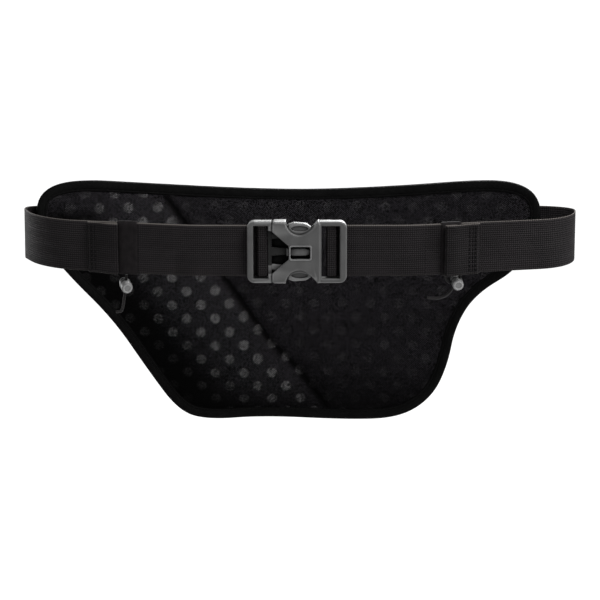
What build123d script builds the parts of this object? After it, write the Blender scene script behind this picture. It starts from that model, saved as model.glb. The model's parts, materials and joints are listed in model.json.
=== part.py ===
from build123d import *
from math import acos, asin, cos, degrees, pi, radians, sin, sqrt, tan
import os

# Waist pack: a padded back panel with an angled bottle sleeve and a zipped pocket behind it, and a
# 38 mm belt buckled in front. Millimetres. +X runs along the buckled belt, +Y points away from the
# wearer, +Z is up. The origin is the middle of the waist ring, on the line through the two side
# bends of the belt, about which its loose front swings. The front of the belt hangs a few degrees
# below level.

os.makedirs("parts", exist_ok=True)

# ---------------------------------------------------------------- driving dimensions
WEB_WIDE = 38.0            # belt webbing
WEB = 1.3                  # thickness of the webbing
LAYER = 1.5                # from one layer of webbing to the next
BELT_DROOP = 6.0           # degrees that the loose front hangs below level
BELT_SLANT = 11.4          # degrees between the front webbing and the buckle, in plan
BELT_FRONT_Y = -55.1       # webbing where it meets the buckle
SLANT_START_X = 80.0       # the webbing runs straight inside this, and slants outside it

PANEL_CURVE = 660.0        # plan radius of the back panel, hollow towards the wearer
PANEL_MID_X = -8.0         # deepest point of the hollow
PANEL_MID_Y = 47.0
SKIN = 1.0                 # spacer mesh on the wearer's side, and lining on the other
FOAM = 7.0
PANEL = SKIN + FOAM + SKIN
BINDING_WIDE = 7.0         # binding tape on each face
BINDING = 0.8              # thickness of the tape

BOTTLE_R = 37.5            # inside of the bottle sleeve
SLEEVE_WALL = 2.0
SLEEVE_TILT = 53.7         # degrees below level of the sleeve's axis, mouth up and to -X
POCKET_WALL = 2.0
POCKET_BACK_Y = 113.0      # outer face of the main pocket
POCKET_TOP_Z = 18.0

BUCKLE_X = -2.2            # middle of the buckle
BUCKLE_TALL = 46.0
BUCKLE_HALF = 36.5
CORD_D = 2.2
LOCK_R = 4.1

# Edge of the back panel (x, z), clockwise from the tip of the -X wing.
PANEL_EDGE = [
    (-203, 15), (-197, 32), (-173, 38.5), (-120, 34.5), (-50, 30), (10, 28.6), (78, 32), (140, 37.8),
    (166, 36.8), (182, 28), (185.5, 8), (170, -28), (136, -49.5), (120.5, -76), (115, -107),
    (103, -133), (78, -149.8), (35, -151.8), (-30, -148.8), (-72, -151.6), (-95, -144.5), (-118, -112),
    (-145, -70), (-179, -34), (-198, -8),
]
# Edge of the main pocket (x, z), clockwise, and the fillet at each corner.
POCKET_EDGE = [(-98, POCKET_TOP_Z), (102, POCKET_TOP_Z), (104, -70), (96, -120), (70, -141), (16.5, -141)]
POCKET_CORNER = 14.0


def save(piece, label):
    """Label a finished piece and write it."""
    piece.part.label = label
    export_step(piece.part, f"parts/{label}.step")


def corner_radii(points, closed=False):
    """Largest arc at each corner: 0.45 of the shorter run over the tangent of half the turn."""
    ring = [points[-1], *points, points[0]] if closed else points
    radii = []
    for before, here, after in zip(ring, ring[1:], ring[2:]):
        first = Vector(*here) - Vector(*before)
        second = Vector(*after) - Vector(*here)
        half_turn = radians(first.get_angle(second)) / 2
        radii.append(0.45 * min(first.length, second.length) / tan(half_turn))
    return radii


def panel_layer(near, far, edge=0.0):
    """One curved layer of the panel, between two depths behind its front, with its edge moved in."""
    with BuildPart() as layer:
        with BuildSketch(Plane.XY.offset(-200)):
            with Locations((PANEL_MID_X, PANEL_MID_Y - PANEL_CURVE)):
                Circle(PANEL_CURVE + far)
                Circle(PANEL_CURVE + near, mode=Mode.SUBTRACT)
        extrude(amount=300)
        with BuildSketch(Plane.XZ):
            with BuildLine():
                FilletPolyline(*PANEL_EDGE, radius=corner_radii(PANEL_EDGE, closed=True), close=True)
            make_face()
            if edge:
                offset(amount=-edge)
        extrude(amount=-120, mode=Mode.INTERSECT)
    return layer.part


# ---------------------------------------------------------------- back panel
with BuildPart() as back_mesh:
    add(panel_layer(0, SKIN))
save(back_mesh, "back_mesh")

with BuildPart() as back_foam:
    add(panel_layer(SKIN, SKIN + FOAM))
save(back_foam, "back_foam")

with BuildPart() as back_lining:
    add(panel_layer(SKIN + FOAM, PANEL))
save(back_lining, "back_lining")

with BuildPart() as edge_binding:
    for near, far in ((-BINDING, 0), (PANEL, PANEL + BINDING)):
        add(panel_layer(near, far, -BINDING))
    add(panel_layer(-5, PANEL + 5, BINDING_WIDE), mode=Mode.SUBTRACT)
    add(panel_layer(0, PANEL, -BINDING) - panel_layer(0, PANEL))
save(edge_binding, "edge_binding")


# ---------------------------------------------------------------- main pocket
def pocket_block(inset, near):
    """The pocket's outer form, inset all round, starting a distance behind the panel's front."""
    with BuildPart() as block:
        with BuildSketch(Plane.XZ.offset(-20)):
            with BuildLine():
                FilletPolyline(*POCKET_EDGE, radius=POCKET_CORNER, close=True)
            make_face()
            offset(amount=-inset)
        extrude(amount=-(POCKET_BACK_Y - inset - 20))
        back = block.faces().sort_by(Axis.Y)[-1]
        fillet(back.edges(), 22 - inset)
        with BuildSketch(Plane.XY.offset(-200)):
            with Locations((PANEL_MID_X, PANEL_MID_Y - PANEL_CURVE)):
                Circle(PANEL_CURVE + near)
        extrude(amount=300, mode=Mode.SUBTRACT)
    return block.part


ZIP_Z = -14.0
ZIP_MIN_X = -56.0
ZIP_MAX_X = 84.0
ZIP_MID_X = (ZIP_MIN_X + ZIP_MAX_X) / 2
ZIP_LONG = ZIP_MAX_X - ZIP_MIN_X
ZIP_SLOT = 7.0
TAPE = 0.8
TOOTH = 2.0

with BuildPart() as main_pocket:
    add(pocket_block(0, PANEL + 0.1))
    add(pocket_block(POCKET_WALL, PANEL + 0.1 + POCKET_WALL), mode=Mode.SUBTRACT)
    with BuildSketch(Plane.XZ.offset(-(POCKET_BACK_Y - 10))):
        with Locations((ZIP_MID_X, ZIP_Z)):
            Rectangle(ZIP_LONG - 8, ZIP_SLOT)
    extrude(amount=-20, mode=Mode.SUBTRACT)
save(main_pocket, "main_pocket")

back_face = Plane.XZ.offset(-POCKET_BACK_Y)
with BuildPart() as zip_tape:
    with BuildSketch(back_face.offset(-0.05)):
        with Locations((ZIP_MID_X, ZIP_Z)):
            RectangleRounded(ZIP_LONG + 10, 26, 3)
            Rectangle(ZIP_LONG, 3.2, mode=Mode.SUBTRACT)
    extrude(amount=-TAPE)
save(zip_tape, "zip_tape")

with BuildPart() as zip_teeth:
    teeth_count = int(ZIP_LONG / TOOTH) - 3
    for i in range(teeth_count):
        row = 1 if i % 2 else -1
        with BuildSketch(back_face.offset(-0.1)):
            with Locations((ZIP_MIN_X + (i + 2) * TOOTH, ZIP_Z + row * 0.45)):
                Rectangle(TOOTH * 0.75, 2.2)
        extrude(amount=-2.0)
save(zip_teeth, "zip_teeth")

SLIDER_X = ZIP_MIN_X + 9
SLIDER_BACK = POCKET_BACK_Y + 2.3
SLIDER_PLATE = 1.4
ARCH_TALL = 5.4
with BuildPart() as zip_slider:
    with BuildSketch(Plane.XZ.offset(-SLIDER_BACK)):
        with Locations((SLIDER_X, ZIP_Z)):
            RectangleRounded(11, 8.5, 2.5)
    extrude(amount=-SLIDER_PLATE)
    with BuildSketch(Plane.YZ.offset(SLIDER_X - 1.2)):
        with Locations((SLIDER_BACK, ZIP_Z)):
            Rectangle(ARCH_TALL, 7.2, align=(Align.MIN, Align.CENTER))
            Rectangle(ARCH_TALL - 1.2, 4.4, align=(Align.MIN, Align.CENTER), mode=Mode.SUBTRACT)
    extrude(amount=2.4)
save(zip_slider, "zip_slider")

PULL_THICK = 1.4
PULL_Y = SLIDER_BACK + 2.8
with BuildPart() as zip_pull:
    with BuildSketch(Plane.XZ.offset(-(PULL_Y - PULL_THICK / 2))):
        with Locations((SLIDER_X, ZIP_Z + 0.9)):
            RectangleRounded(7.6, 30, 3.2, align=(Align.CENTER, Align.MAX))
        with Locations((SLIDER_X, ZIP_Z - 0.9)):
            Rectangle(3.6, 3.9, align=(Align.CENTER, Align.MAX), mode=Mode.SUBTRACT)
    extrude(amount=-PULL_THICK)
save(zip_pull, "zip_pull")

# ---------------------------------------------------------------- stretch pocket on the back
STRETCH_TOP_Z = -34.0
STRETCH_DEEP = 17.0
STRETCH_WALL = 1.5
STRETCH_EDGE = [(-40, STRETCH_TOP_Z), (88, STRETCH_TOP_Z), (88, -100), (74, -122), (25, -122), (12, -106)]


def stretch_block(inset, top):
    """The stretch pocket's outer form, inset at the sides, bottom and back, open above top."""
    with BuildPart() as block:
        with BuildSketch(back_face.offset(-0.1)):
            with BuildLine():
                FilletPolyline(*STRETCH_EDGE, radius=9, close=True)
            make_face()
            offset(amount=-inset)
        extrude(amount=-(STRETCH_DEEP - inset))
        back = block.faces().sort_by(Axis.Y)[-1]
        fillet(back.edges(), 7)
        split(bisect_by=Plane.XY.offset(top), keep=Keep.BOTTOM)
    return block.part


with BuildPart() as stretch_pocket:
    add(stretch_block(0, STRETCH_TOP_Z - 14))
    with Locations((0, -0.01, 0)):
        add(stretch_block(STRETCH_WALL, STRETCH_TOP_Z - 10), mode=Mode.SUBTRACT)
save(stretch_pocket, "stretch_pocket")

with BuildPart() as stretch_binding:
    add(stretch_block(0, STRETCH_TOP_Z - 10))
    with Locations((0, -0.01, 0)):
        add(stretch_block(STRETCH_WALL, STRETCH_TOP_Z), mode=Mode.SUBTRACT)
    split(bisect_by=Plane.XY.offset(STRETCH_TOP_Z - 13.9), keep=Keep.TOP)
save(stretch_binding, "stretch_binding")

# ---------------------------------------------------------------- bottle sleeve
SLEEVE_R = BOTTLE_R + SLEEVE_WALL
SLEEVE_LONG = 142.0
SLEEVE_FOOT = (-52.0, 96.5, -118.5)
slope = radians(SLEEVE_TILT)
sleeve_up = Vector(-cos(slope), -0.08, sin(slope)).normalized()
sleeve_plane = Plane(origin=SLEEVE_FOOT, x_dir=(sin(slope), 0, cos(slope)), z_dir=sleeve_up)
HEM_TALL = 14.0

with BuildPart() as bottle_sleeve:
    with BuildSketch(sleeve_plane):
        Circle(SLEEVE_R)
    extrude(amount=SLEEVE_LONG)
    foot_edge = bottle_sleeve.edges().filter_by(GeomType.CIRCLE).sort_by(Axis.Z)[0]
    fillet(foot_edge, 8)
    with BuildSketch(sleeve_plane.offset(3)):
        Circle(BOTTLE_R)
    extrude(amount=SLEEVE_LONG, mode=Mode.SUBTRACT)
save(bottle_sleeve, "bottle_sleeve")

with BuildPart() as sleeve_hem:
    with BuildSketch(sleeve_plane.offset(SLEEVE_LONG)):
        Circle(SLEEVE_R)
        Circle(BOTTLE_R, mode=Mode.SUBTRACT)
    extrude(amount=HEM_TALL)
    mouth = sleeve_hem.edges().filter_by(GeomType.CIRCLE).group_by(Axis.Z)[-1]
    fillet(mouth, 0.7)
save(sleeve_hem, "sleeve_hem")

# ---------------------------------------------------------------- belt path, in plan, for one side
slant = radians(BELT_SLANT)
SLANT_END = (SLANT_START_X, BELT_FRONT_Y)
REAR_R = PANEL_CURVE + PANEL + BINDING + 0.9
ANCHOR_X = {-1: 150.0, 1: 130.0}          # inner end of the webbing sewn on each wing
LEAVE_X = {-1: 202.5, 1: 188.0}           # where the webbing leaves the wing
EXTREME_X = {-1: 210.5, 1: 208.3}         # outermost point of each side bend
REAR_END_Y = 0.0                          # the webbing is cut here, at the swing line
BEND_START_Y = -2.5
BEND_END_Y = -9.0
FRONT_START_Y = -9.5
SLACK_END_X = 71.0                        # webbing that crumples when a buckle half slides
SLACK_START_X = {-1: 40.4, 1: 36.2}


def slant_point(x, layer):
    """A point on the slanting webbing, a distance outside its inner layer."""
    along = (x - SLANT_END[0]) / cos(slant)
    return (
        SLANT_END[0] + along * cos(slant) + layer * sin(slant),
        SLANT_END[1] + along * sin(slant) - layer * cos(slant),
    )


def side_plane(side, droop):
    """Plan plane of one side: local x grows outwards on that side, and it can tilt with the belt."""
    tip = radians(droop)
    return Plane(origin=(0, 0, 0), x_dir=(side, 0, 0), z_dir=(0, -sin(tip) * side, cos(tip) * side))


def bend(side):
    """Centre and radius of the two arcs of a side bend: round the wing's tip, then to the front."""
    mid_x = side * PANEL_MID_X
    lean = asin((LEAVE_X[side] - mid_x) / REAR_R)
    leave_y = PANEL_MID_Y - PANEL_CURVE + REAR_R * cos(lean)
    tip_r = (EXTREME_X[side] - LEAVE_X[side]) / (1 - sin(lean))
    tip = (EXTREME_X[side] - tip_r, leave_y - tip_r * cos(lean))
    reach = SLANT_END[0] * sin(slant) - SLANT_END[1] * cos(slant)
    front_r = (reach - EXTREME_X[side] * sin(slant) + tip[1] * cos(slant)) / (1 - sin(slant))
    front = (EXTREME_X[side] - front_r, tip[1])
    return lean, tip, tip_r, front, front_r


def arc_between(centre, radius, from_deg, to_deg):
    """Arc about a centre between two bearings in degrees."""
    return CenterArc(centre, radius, from_deg, to_deg - from_deg)


belt = side_plane(1, BELT_DROOP)
FLAP_LAYER = {-1: 2, 1: 3.0}              # the +X hem lies over its keeper
HEM_FOLD_X = {-1: 154.8, 1: 129.5}
HEM_FREE_X = {-1: 134.6, 1: 106.5}
for side, word in ((-1, "left"), (1, "right")):
    lean, tip, tip_r, front, front_r = bend(side)
    level = side_plane(side, 0)
    loose = side_plane(side, BELT_DROOP)
    panel_axis = (side * PANEL_MID_X, PANEL_MID_Y - PANEL_CURVE)
    wing_from = degrees(acos((ANCHOR_X[side] - panel_axis[0]) / REAR_R))
    wing_to = degrees(acos((LEAVE_X[side] - panel_axis[0]) / REAR_R))

    def bearing(y):
        """Bearing from the front arc's centre to its point at depth y."""
        return degrees(asin((y - front[1]) / front_r))

    with BuildPart() as rear_strap:
        with BuildSketch(level):
            with BuildLine() as path:
                arc_between(panel_axis, REAR_R, wing_from, wing_to)
                arc_between(tip, tip_r, wing_to, 0)
                arc_between(front, front_r, 0, bearing(REAR_END_Y))
            trace(line_width=WEB)
        extrude(amount=WEB_WIDE / 2, both=True)
    save(rear_strap, f"{word}_rear_strap")

    with BuildPart() as side_bend:
        with BuildSketch(loose):
            with BuildLine():
                arc_between(front, front_r, bearing(BEND_START_Y), bearing(BEND_END_Y))
            trace(line_width=WEB)
        extrude(amount=WEB_WIDE / 2, both=True)
    save(side_bend, f"{word}_side_bend")

    slant_bearing = degrees(slant) - 90
    with BuildPart() as front_strap:
        with BuildSketch(loose):
            with BuildLine():
                arc_between(front, front_r, bearing(FRONT_START_Y), slant_bearing)
                meet = front[0] + front_r * cos(radians(slant_bearing))
                FilletPolyline(
                    slant_point(meet, 0), SLANT_END, (SLACK_END_X, BELT_FRONT_Y), radius=80
                )
            trace(line_width=WEB)
        extrude(amount=WEB_WIDE / 2, both=True)
    save(front_strap, f"{word}_front_strap")

    hem_gap = (FLAP_LAYER[side] - 1) * LAYER
    fold_in = slant_point(HEM_FOLD_X[side], LAYER)
    fold_out = slant_point(HEM_FOLD_X[side], LAYER + hem_gap)
    fold_tip = slant_point(HEM_FOLD_X[side] + hem_gap / 2 * cos(slant), LAYER + hem_gap / 2)
    with BuildPart() as strap_tail:
        with BuildSketch(loose):
            with BuildLine():
                FilletPolyline(
                    (SLACK_END_X, BELT_FRONT_Y - LAYER),
                    (SLANT_END[0], BELT_FRONT_Y - LAYER),
                    fold_in,
                    radius=80,
                )
                ThreePointArc(fold_in, fold_tip, fold_out)
                Line(fold_out, slant_point(HEM_FREE_X[side], LAYER + hem_gap))
            trace(line_width=WEB)
        extrude(amount=WEB_WIDE / 2, both=True)
    save(strap_tail, f"{word}_strap_tail")

    with BuildPart() as slack:
        for layer in (0, LAYER):
            with BuildSketch(loose):
                with Locations(((SLACK_START_X[side] + SLACK_END_X) / 2, BELT_FRONT_Y - layer)):
                    Rectangle(SLACK_END_X - SLACK_START_X[side] - 0.4, WEB)
            extrude(amount=WEB_WIDE / 2, both=True)
    save(slack, f"{word}_slack")

# ---------------------------------------------------------------- keepers
KEEPER_WALL = 1.0
KEEPER_GAP = 0.2
KEEPER_X = {-1: (119.4, 134.2), 1: (103.6, 118.2)}
for side, word in ((-1, "left"), (1, "right")):
    near, far = KEEPER_X[side]
    across = slant_point((near + far) / 2, LAYER / 2)
    keeper_plane = Plane(
        origin=side_plane(side, BELT_DROOP).from_local_coords((across[0], across[1], 0)),
        x_dir=belt.from_local_coords((-side * sin(slant), cos(slant), 0)),
        z_dir=belt.from_local_coords((side * cos(slant), sin(slant), 0)),
    )
    deep = LAYER + WEB + 2 * KEEPER_GAP
    tall = WEB_WIDE + 2 * KEEPER_GAP
    with BuildPart() as keeper:
        with BuildSketch(keeper_plane):
            RectangleRounded(deep + 2 * KEEPER_WALL, tall + 2 * KEEPER_WALL, 1.6)
            RectangleRounded(deep, tall, 0.6, mode=Mode.SUBTRACT)
        extrude(amount=(far - near) / cos(slant) / 2, both=True)
    save(keeper, f"{word}_keeper")

# ---------------------------------------------------------------- buckle
# Drawn facing the wearer: u along +X, v along the belt's height, w out towards the viewer from
# the inner layer of webbing.
face = Plane(
    origin=belt.from_local_coords((BUCKLE_X, BELT_FRONT_Y, 0)),
    x_dir=(1, 0, 0),
    z_dir=belt.from_local_coords((0, -1, 0)),
)
FRAME_LOW = 1.2
FRAME_TOP = 8.4
SLOT_HALF = 19.6
OUTER_BAR = 4.5
OUTER_LOW = 2.5
BAR_LOW = 1.0
BAR_TOP = 4.2
BODY_LOW = -0.6
BODY_TOP = 10.2
CAVITY_LOW = 2.2
CAVITY_TOP = 7.8
PRONG_LOW = 2.6
PRONG_THICK = 4.8
ROOT_TOP = 4.6                            # the roots of the prongs, tongue and rail lie deep in the notch
ROOT_END = -7.6
BUTTON_DISH = 0.9


def slotted_frame(side, inner, slot_near, slot_far, bar_near, bar_far):
    """A buckle frame on one side: rounded outer end, webbing slot, and a bar across the slot."""
    with BuildPart() as frame:
        with BuildSketch(face.offset(FRAME_LOW)):
            with BuildLine():
                FilletPolyline(
                    (side * inner, BUCKLE_TALL / 2),
                    (side * BUCKLE_HALF, BUCKLE_TALL / 2),
                    (side * BUCKLE_HALF, -BUCKLE_TALL / 2),
                    (side * inner, -BUCKLE_TALL / 2),
                    radius=5.5,
                )
                Line((side * inner, -BUCKLE_TALL / 2), (side * inner, BUCKLE_TALL / 2))
            make_face()
            with Locations((side * (slot_near + slot_far) / 2, 0)):
                RectangleRounded(slot_far - slot_near, 2 * SLOT_HALF, 0.5, mode=Mode.SUBTRACT)
        extrude(amount=FRAME_TOP - FRAME_LOW)
        rim = frame.faces().sort_by(Axis(face.origin, face.z_dir))[-1]
        fillet(rim.edges().filter_by(lambda edge: abs(edge.center().X - BUCKLE_X) > inner + 0.1), 1.1)
        with BuildSketch(face.offset(FRAME_LOW - 1)):
            with Locations((side * BUCKLE_HALF, 0)):
                Rectangle(2 * (BUCKLE_HALF - slot_far) + 2, 2 * SLOT_HALF)
        extrude(amount=OUTER_LOW - FRAME_LOW + 1, mode=Mode.SUBTRACT)
        with BuildSketch(face.offset(BAR_LOW)):
            with Locations((side * (bar_near + bar_far) / 2, 0)):
                Rectangle(bar_far - bar_near, 2 * SLOT_HALF + 2)
        extrude(amount=BAR_TOP - BAR_LOW)
    return frame.part


# The upper prong in the buckle's plane, with the fillet at each corner: a springy arm that ends in
# the release button.
PRONG = [(-18.7, 9.3), (-11, 10.2), (-3, 12.4), (5, 13.4), (10.8, 15.0), (10.6, 18.4), (6.5, 21.2),
         (-2.5, 21.9), (-6.6, 20.4), (-7.0, 16.9), (-12, 14.8), (-18.7, 13.6)]
PRONG_ROUND = [0.9, 12, 12, 12, 1.4, 2.5, 4, 4, 0.9, 0.9, 6, 0.9]

def root_space(far):
    """The space above ROOT_TOP from the slot to the end of the notch."""
    with BuildPart() as space:
        with BuildSketch(face.offset(ROOT_TOP)):
            with Locations(((ROOT_END + far) / 2, 0)):
                Rectangle(ROOT_END - far, 2 * SLOT_HALF - 7)
        extrude(amount=FRAME_TOP)
    return space.part


with BuildPart() as buckle_male:
    add(slotted_frame(-1, 18.7, 21.2, 32.0, 23.4, 27.2))
    with BuildSketch(face.offset(PRONG_LOW)):
        with BuildLine():
            Polyline((-19, 3.4), (-12, 2.7), (6, 2.7), (9.5, 1.4), (9.5, -1.4), (6, -2.7), (-12, -2.7),
                     (-19, -3.4), close=True)
        make_face()
    extrude(amount=PRONG_THICK)
    add(root_space(-21.6), mode=Mode.SUBTRACT)
save(buckle_male, "buckle_male")

with BuildPart() as upper_prong:
    with BuildSketch(face.offset(PRONG_LOW)):
        with BuildLine():
            FilletPolyline(*PRONG, radius=PRONG_ROUND, close=True)
        make_face()
    extrude(amount=PRONG_THICK)
    top = upper_prong.faces().sort_by(Axis(face.origin, face.z_dir))[-1]
    chamfer(top.edges(), 0.5)
    with BuildSketch(face.offset(PRONG_LOW + PRONG_THICK - BUTTON_DISH)):
        with Locations((2.0, 17.6)):
            Ellipse(6.2, 1.9)
    extrude(amount=BUTTON_DISH + 1, mode=Mode.SUBTRACT)
    add(root_space(-19.5), mode=Mode.SUBTRACT)
save(upper_prong, "upper_prong")

with BuildPart() as lower_prong:
    add(upper_prong.part.mirror(Plane(origin=face.origin, x_dir=(1, 0, 0), z_dir=face.y_dir)))
save(lower_prong, "lower_prong")

with BuildPart() as buckle_female:
    with BuildSketch(face.offset(BODY_LOW)):
        with BuildLine():
            FilletPolyline((-18.4, 23), (17.4, 23), (17.4, -23), (-18.4, -23), radius=2.2, close=True)
        make_face()
        for half in (1, -1):
            with BuildLine():
                Spline((-8.2, half * 24), (-7.4, half * 19.6), (-3, half * 14.6), (2, half * 13.4),
                       (7.5, half * 15.4), (12, half * 19.2), (16.2, half * 24))
                Line((16.2, half * 24), (-8.2, half * 24))
            make_face(mode=Mode.SUBTRACT)
    extrude(amount=BODY_TOP - BODY_LOW)
    front = buckle_female.faces().sort_by(Axis(face.origin, face.z_dir))[-1]
    fillet(front.edges(), 1.6)
    with BuildSketch(face.offset(CAVITY_LOW)):
        with Locations((-2.5, 0)):
            Rectangle(33, 2 * SLOT_HALF)
    extrude(amount=CAVITY_TOP - CAVITY_LOW, mode=Mode.SUBTRACT)
    with BuildSketch(face.offset(CAVITY_TOP - 0.5)):
        with BuildLine():
            Line((-19, 16.6), (-6.4, 5.4))
            ThreePointArc((-6.4, 5.4), (-5.6, 0), (-6.4, -5.4))
            Line((-6.4, -5.4), (-19, -16.6))
            Line((-19, -16.6), (-19, 16.6))
        make_face()
        with Locations((2.5, 0)):
            RectangleRounded(14.4, 9.3, 1.2)
    extrude(amount=5, mode=Mode.SUBTRACT)
    add(slotted_frame(1, 16.6, 18.0, 31.3, 23.0, 27.6))
    with BuildSketch(face.offset(BODY_TOP - 0.2)):
        with Locations((2.5, 0)):
            RectangleRounded(16.6, 11.5, 1.8)
            RectangleRounded(14.4, 9.3, 1.2, mode=Mode.SUBTRACT)
    extrude(amount=0.6)
save(buckle_female, "buckle_female")

for side, word, near in ((-1, "left", 21.95), (1, "right", 21.9)):
    front_w = BAR_TOP + 0.25 + WEB / 2
    end = 37.9
    loop_plane = Plane(origin=face.origin, x_dir=(side, 0, 0), z_dir=side * Vector(belt.z_dir))
    with BuildPart() as loop:
        with BuildSketch(loop_plane):
            with BuildLine():
                FilletPolyline((end, 0), (near, 0), (near, -front_w), (28.0, -front_w), (30.2, -LAYER),
                               (end, -LAYER), radius=0.9)
            trace(line_width=WEB)
        extrude(amount=WEB_WIDE / 2, both=True)
    save(loop, f"{word}_loop")

# ---------------------------------------------------------------- cords and cord locks
# Each cord leaves the lower edge of a keeper, runs through its lock and ends free.
CORDS = {
    "left": [(-128.7, -42.0, -25.3), (-130.4, -38.0, -40.2), (-131.9, -37.0, -50.0),
             (-133.2, -36.6, -54.6), (-137.4, -36.2, -54.0)],
    "right": [(119.0, -44.2, -25.5), (113.2, -41.4, -36.9), (107.6, -40.8, -42.2),
              (100.9, -41.2, -43.7), (94.6, -41.8, -42.8)],
}
RETURN = [(107.6, -46.2, -25.8), (107.9, -45.4, -29.3), (111.2, -44.3, -31.2)]
LOCK_SHARE = {"left": 0.55, "right": 0.47}      # how far along the cord's first run the lock sits
LOCK_FACING = {"left": (0.27, -0.93, -0.26), "right": (0.12, -0.95, -0.28)}


def cord_tube(label, points):
    """Round tube along straight runs joined by tangent arcs."""
    radii = corner_radii(points)
    print(label, "radii", [round(r, 1) for r in radii])
    with BuildPart() as tube:
        with BuildLine() as route:
            FilletPolyline(*points, radius=radii)
        path = route.wires()[0]
        with BuildSketch(Plane(origin=path @ 0, z_dir=path % 0)):
            Circle(CORD_D / 2)
        sweep()
    expected = path.length * pi * CORD_D**2 / 4
    print(label, "length", round(path.length, 1), "volume share", round(tube.part.volume / expected, 4))
    save(tube, label)


BARREL_FRONT = 6.6
BARREL_REAR = 3.5
BORE_FRONT = 5.2
STEM_R = 2.75
STEM_FRONT = 2.8
CORD_HOLE_R = 1.4
PRESS = 1.5
for word, points in CORDS.items():
    cord_tube(f"{word}_cord", points)
    run = Vector(points[1]) - Vector(points[0])
    middle = Vector(points[0]) + run * LOCK_SHARE[word]
    down = run.normalized()
    facing = Vector(LOCK_FACING[word])
    rearward = -(facing - down * facing.dot(down)).normalized()
    lock = Plane(origin=middle, x_dir=down, z_dir=rearward)
    cord_hole = Plane(origin=middle - down * 8, z_dir=down, x_dir=rearward)

    with BuildPart() as lock_barrel:
        with BuildSketch(lock.offset(-BARREL_FRONT)):
            Circle(LOCK_R)
        extrude(amount=BARREL_FRONT + BARREL_REAR)
        rims = lock_barrel.edges().filter_by(GeomType.CIRCLE)
        fillet(rims, 0.6)
        with BuildSketch(lock.offset(-BORE_FRONT)):
            Circle(STEM_R + 0.08)
        extrude(amount=BORE_FRONT + BARREL_REAR, mode=Mode.SUBTRACT)
        with BuildSketch(cord_hole):
            Circle(CORD_HOLE_R)
        extrude(amount=16, mode=Mode.SUBTRACT)
    save(lock_barrel, f"{word}_lock_barrel")

    with BuildPart() as lock_button:
        with BuildSketch(lock.offset(-STEM_FRONT)):
            Circle(STEM_R)
        extrude(amount=STEM_FRONT + BARREL_REAR + PRESS + 0.3)
        with BuildSketch(lock.offset(BARREL_REAR + PRESS + 0.2)):
            Circle(LOCK_R - 0.5)
        extrude(amount=1.6)
        cap = lock_button.faces().sort_by(Axis(middle, rearward))[-1]
        fillet(cap.edges(), 0.7)
        with BuildSketch(cord_hole):
            SlotCenterToCenter(PRESS + 0.1, 2 * CORD_HOLE_R)
        extrude(amount=16, mode=Mode.SUBTRACT)
    save(lock_button, f"{word}_lock_button")

    with BuildPart() as lock_spring:
        with BuildSketch(lock.offset(-BORE_FRONT + 0.05)):
            Circle(2.4)
            Circle(1.9, mode=Mode.SUBTRACT)
        extrude(amount=BORE_FRONT - STEM_FRONT - 0.1)
    save(lock_spring, f"{word}_lock_spring")

cord_tube("right_cord_return", RETURN)
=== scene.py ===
import json
import math

import bmesh
import bpy
import numpy as np
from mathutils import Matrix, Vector, geometry, noise
from mathutils.bvhtree import BVHTree


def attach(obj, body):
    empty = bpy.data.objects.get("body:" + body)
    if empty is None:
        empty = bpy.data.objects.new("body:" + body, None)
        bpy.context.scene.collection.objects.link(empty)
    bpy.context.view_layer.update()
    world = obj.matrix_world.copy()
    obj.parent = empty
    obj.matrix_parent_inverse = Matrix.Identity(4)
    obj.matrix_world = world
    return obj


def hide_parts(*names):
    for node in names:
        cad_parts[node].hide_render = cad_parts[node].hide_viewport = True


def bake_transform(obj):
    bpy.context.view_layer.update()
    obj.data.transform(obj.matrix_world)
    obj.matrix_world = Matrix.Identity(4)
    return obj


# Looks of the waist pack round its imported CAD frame. Lengths in the shape functions are millimetres in
# the row frame, and become metres in piece(). The wearer's side faces -Y.

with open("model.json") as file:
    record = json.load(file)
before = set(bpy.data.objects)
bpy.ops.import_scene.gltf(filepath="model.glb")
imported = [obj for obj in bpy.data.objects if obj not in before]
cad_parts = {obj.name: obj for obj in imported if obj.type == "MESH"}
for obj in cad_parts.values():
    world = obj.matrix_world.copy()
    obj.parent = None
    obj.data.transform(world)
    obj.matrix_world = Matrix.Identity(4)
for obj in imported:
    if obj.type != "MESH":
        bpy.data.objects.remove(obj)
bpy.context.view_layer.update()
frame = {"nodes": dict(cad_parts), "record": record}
nodes = frame["nodes"]
scene = bpy.context.scene
MM = 0.001
# The belt's plane at the buckle: how far it is turned down, and where its inner layer lies.
DROOP = math.radians(6)
BELT_FRONT_Y = -55.1

# ---------------------------------------------------------------- camera, light and stage
CAMERA_TILT = math.radians(8)
CAMERA_AWAY = 1.6
CAMERA_LENS = 126.3
LOOK_AT = Vector((0, -0.00696, -0.0495))
look = Vector((0, math.cos(CAMERA_TILT), -math.sin(CAMERA_TILT)))
camera = bpy.data.objects.new("camera", bpy.data.cameras.new("camera"))
camera.data.lens = CAMERA_LENS
camera.data.sensor_width = 36
camera.location = LOOK_AT - look * CAMERA_AWAY
camera.rotation_euler = look.to_track_quat("-Z", "Y").to_euler()
scene.collection.objects.link(camera)
scene.camera = camera
scene.view_settings.view_transform = "Standard"

world = bpy.data.worlds.new("studio")
world.use_nodes = True
world.node_tree.nodes["Background"].inputs["Color"].default_value = (1, 1, 1, 1)
world.node_tree.nodes["Background"].inputs["Strength"].default_value = 1.12
scene.world = world


def area_light(name, place, aim, size, power):
    """A square soft light at place, turned towards aim, in metres and watts."""
    light = bpy.data.lights.new(name, "AREA")
    light.size = size
    light.energy = power
    lamp = bpy.data.objects.new(name, light)
    lamp.location = place
    lamp.rotation_euler = (Vector(aim) - Vector(place)).to_track_quat("-Z", "Y").to_euler()
    scene.collection.objects.link(lamp)


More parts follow.
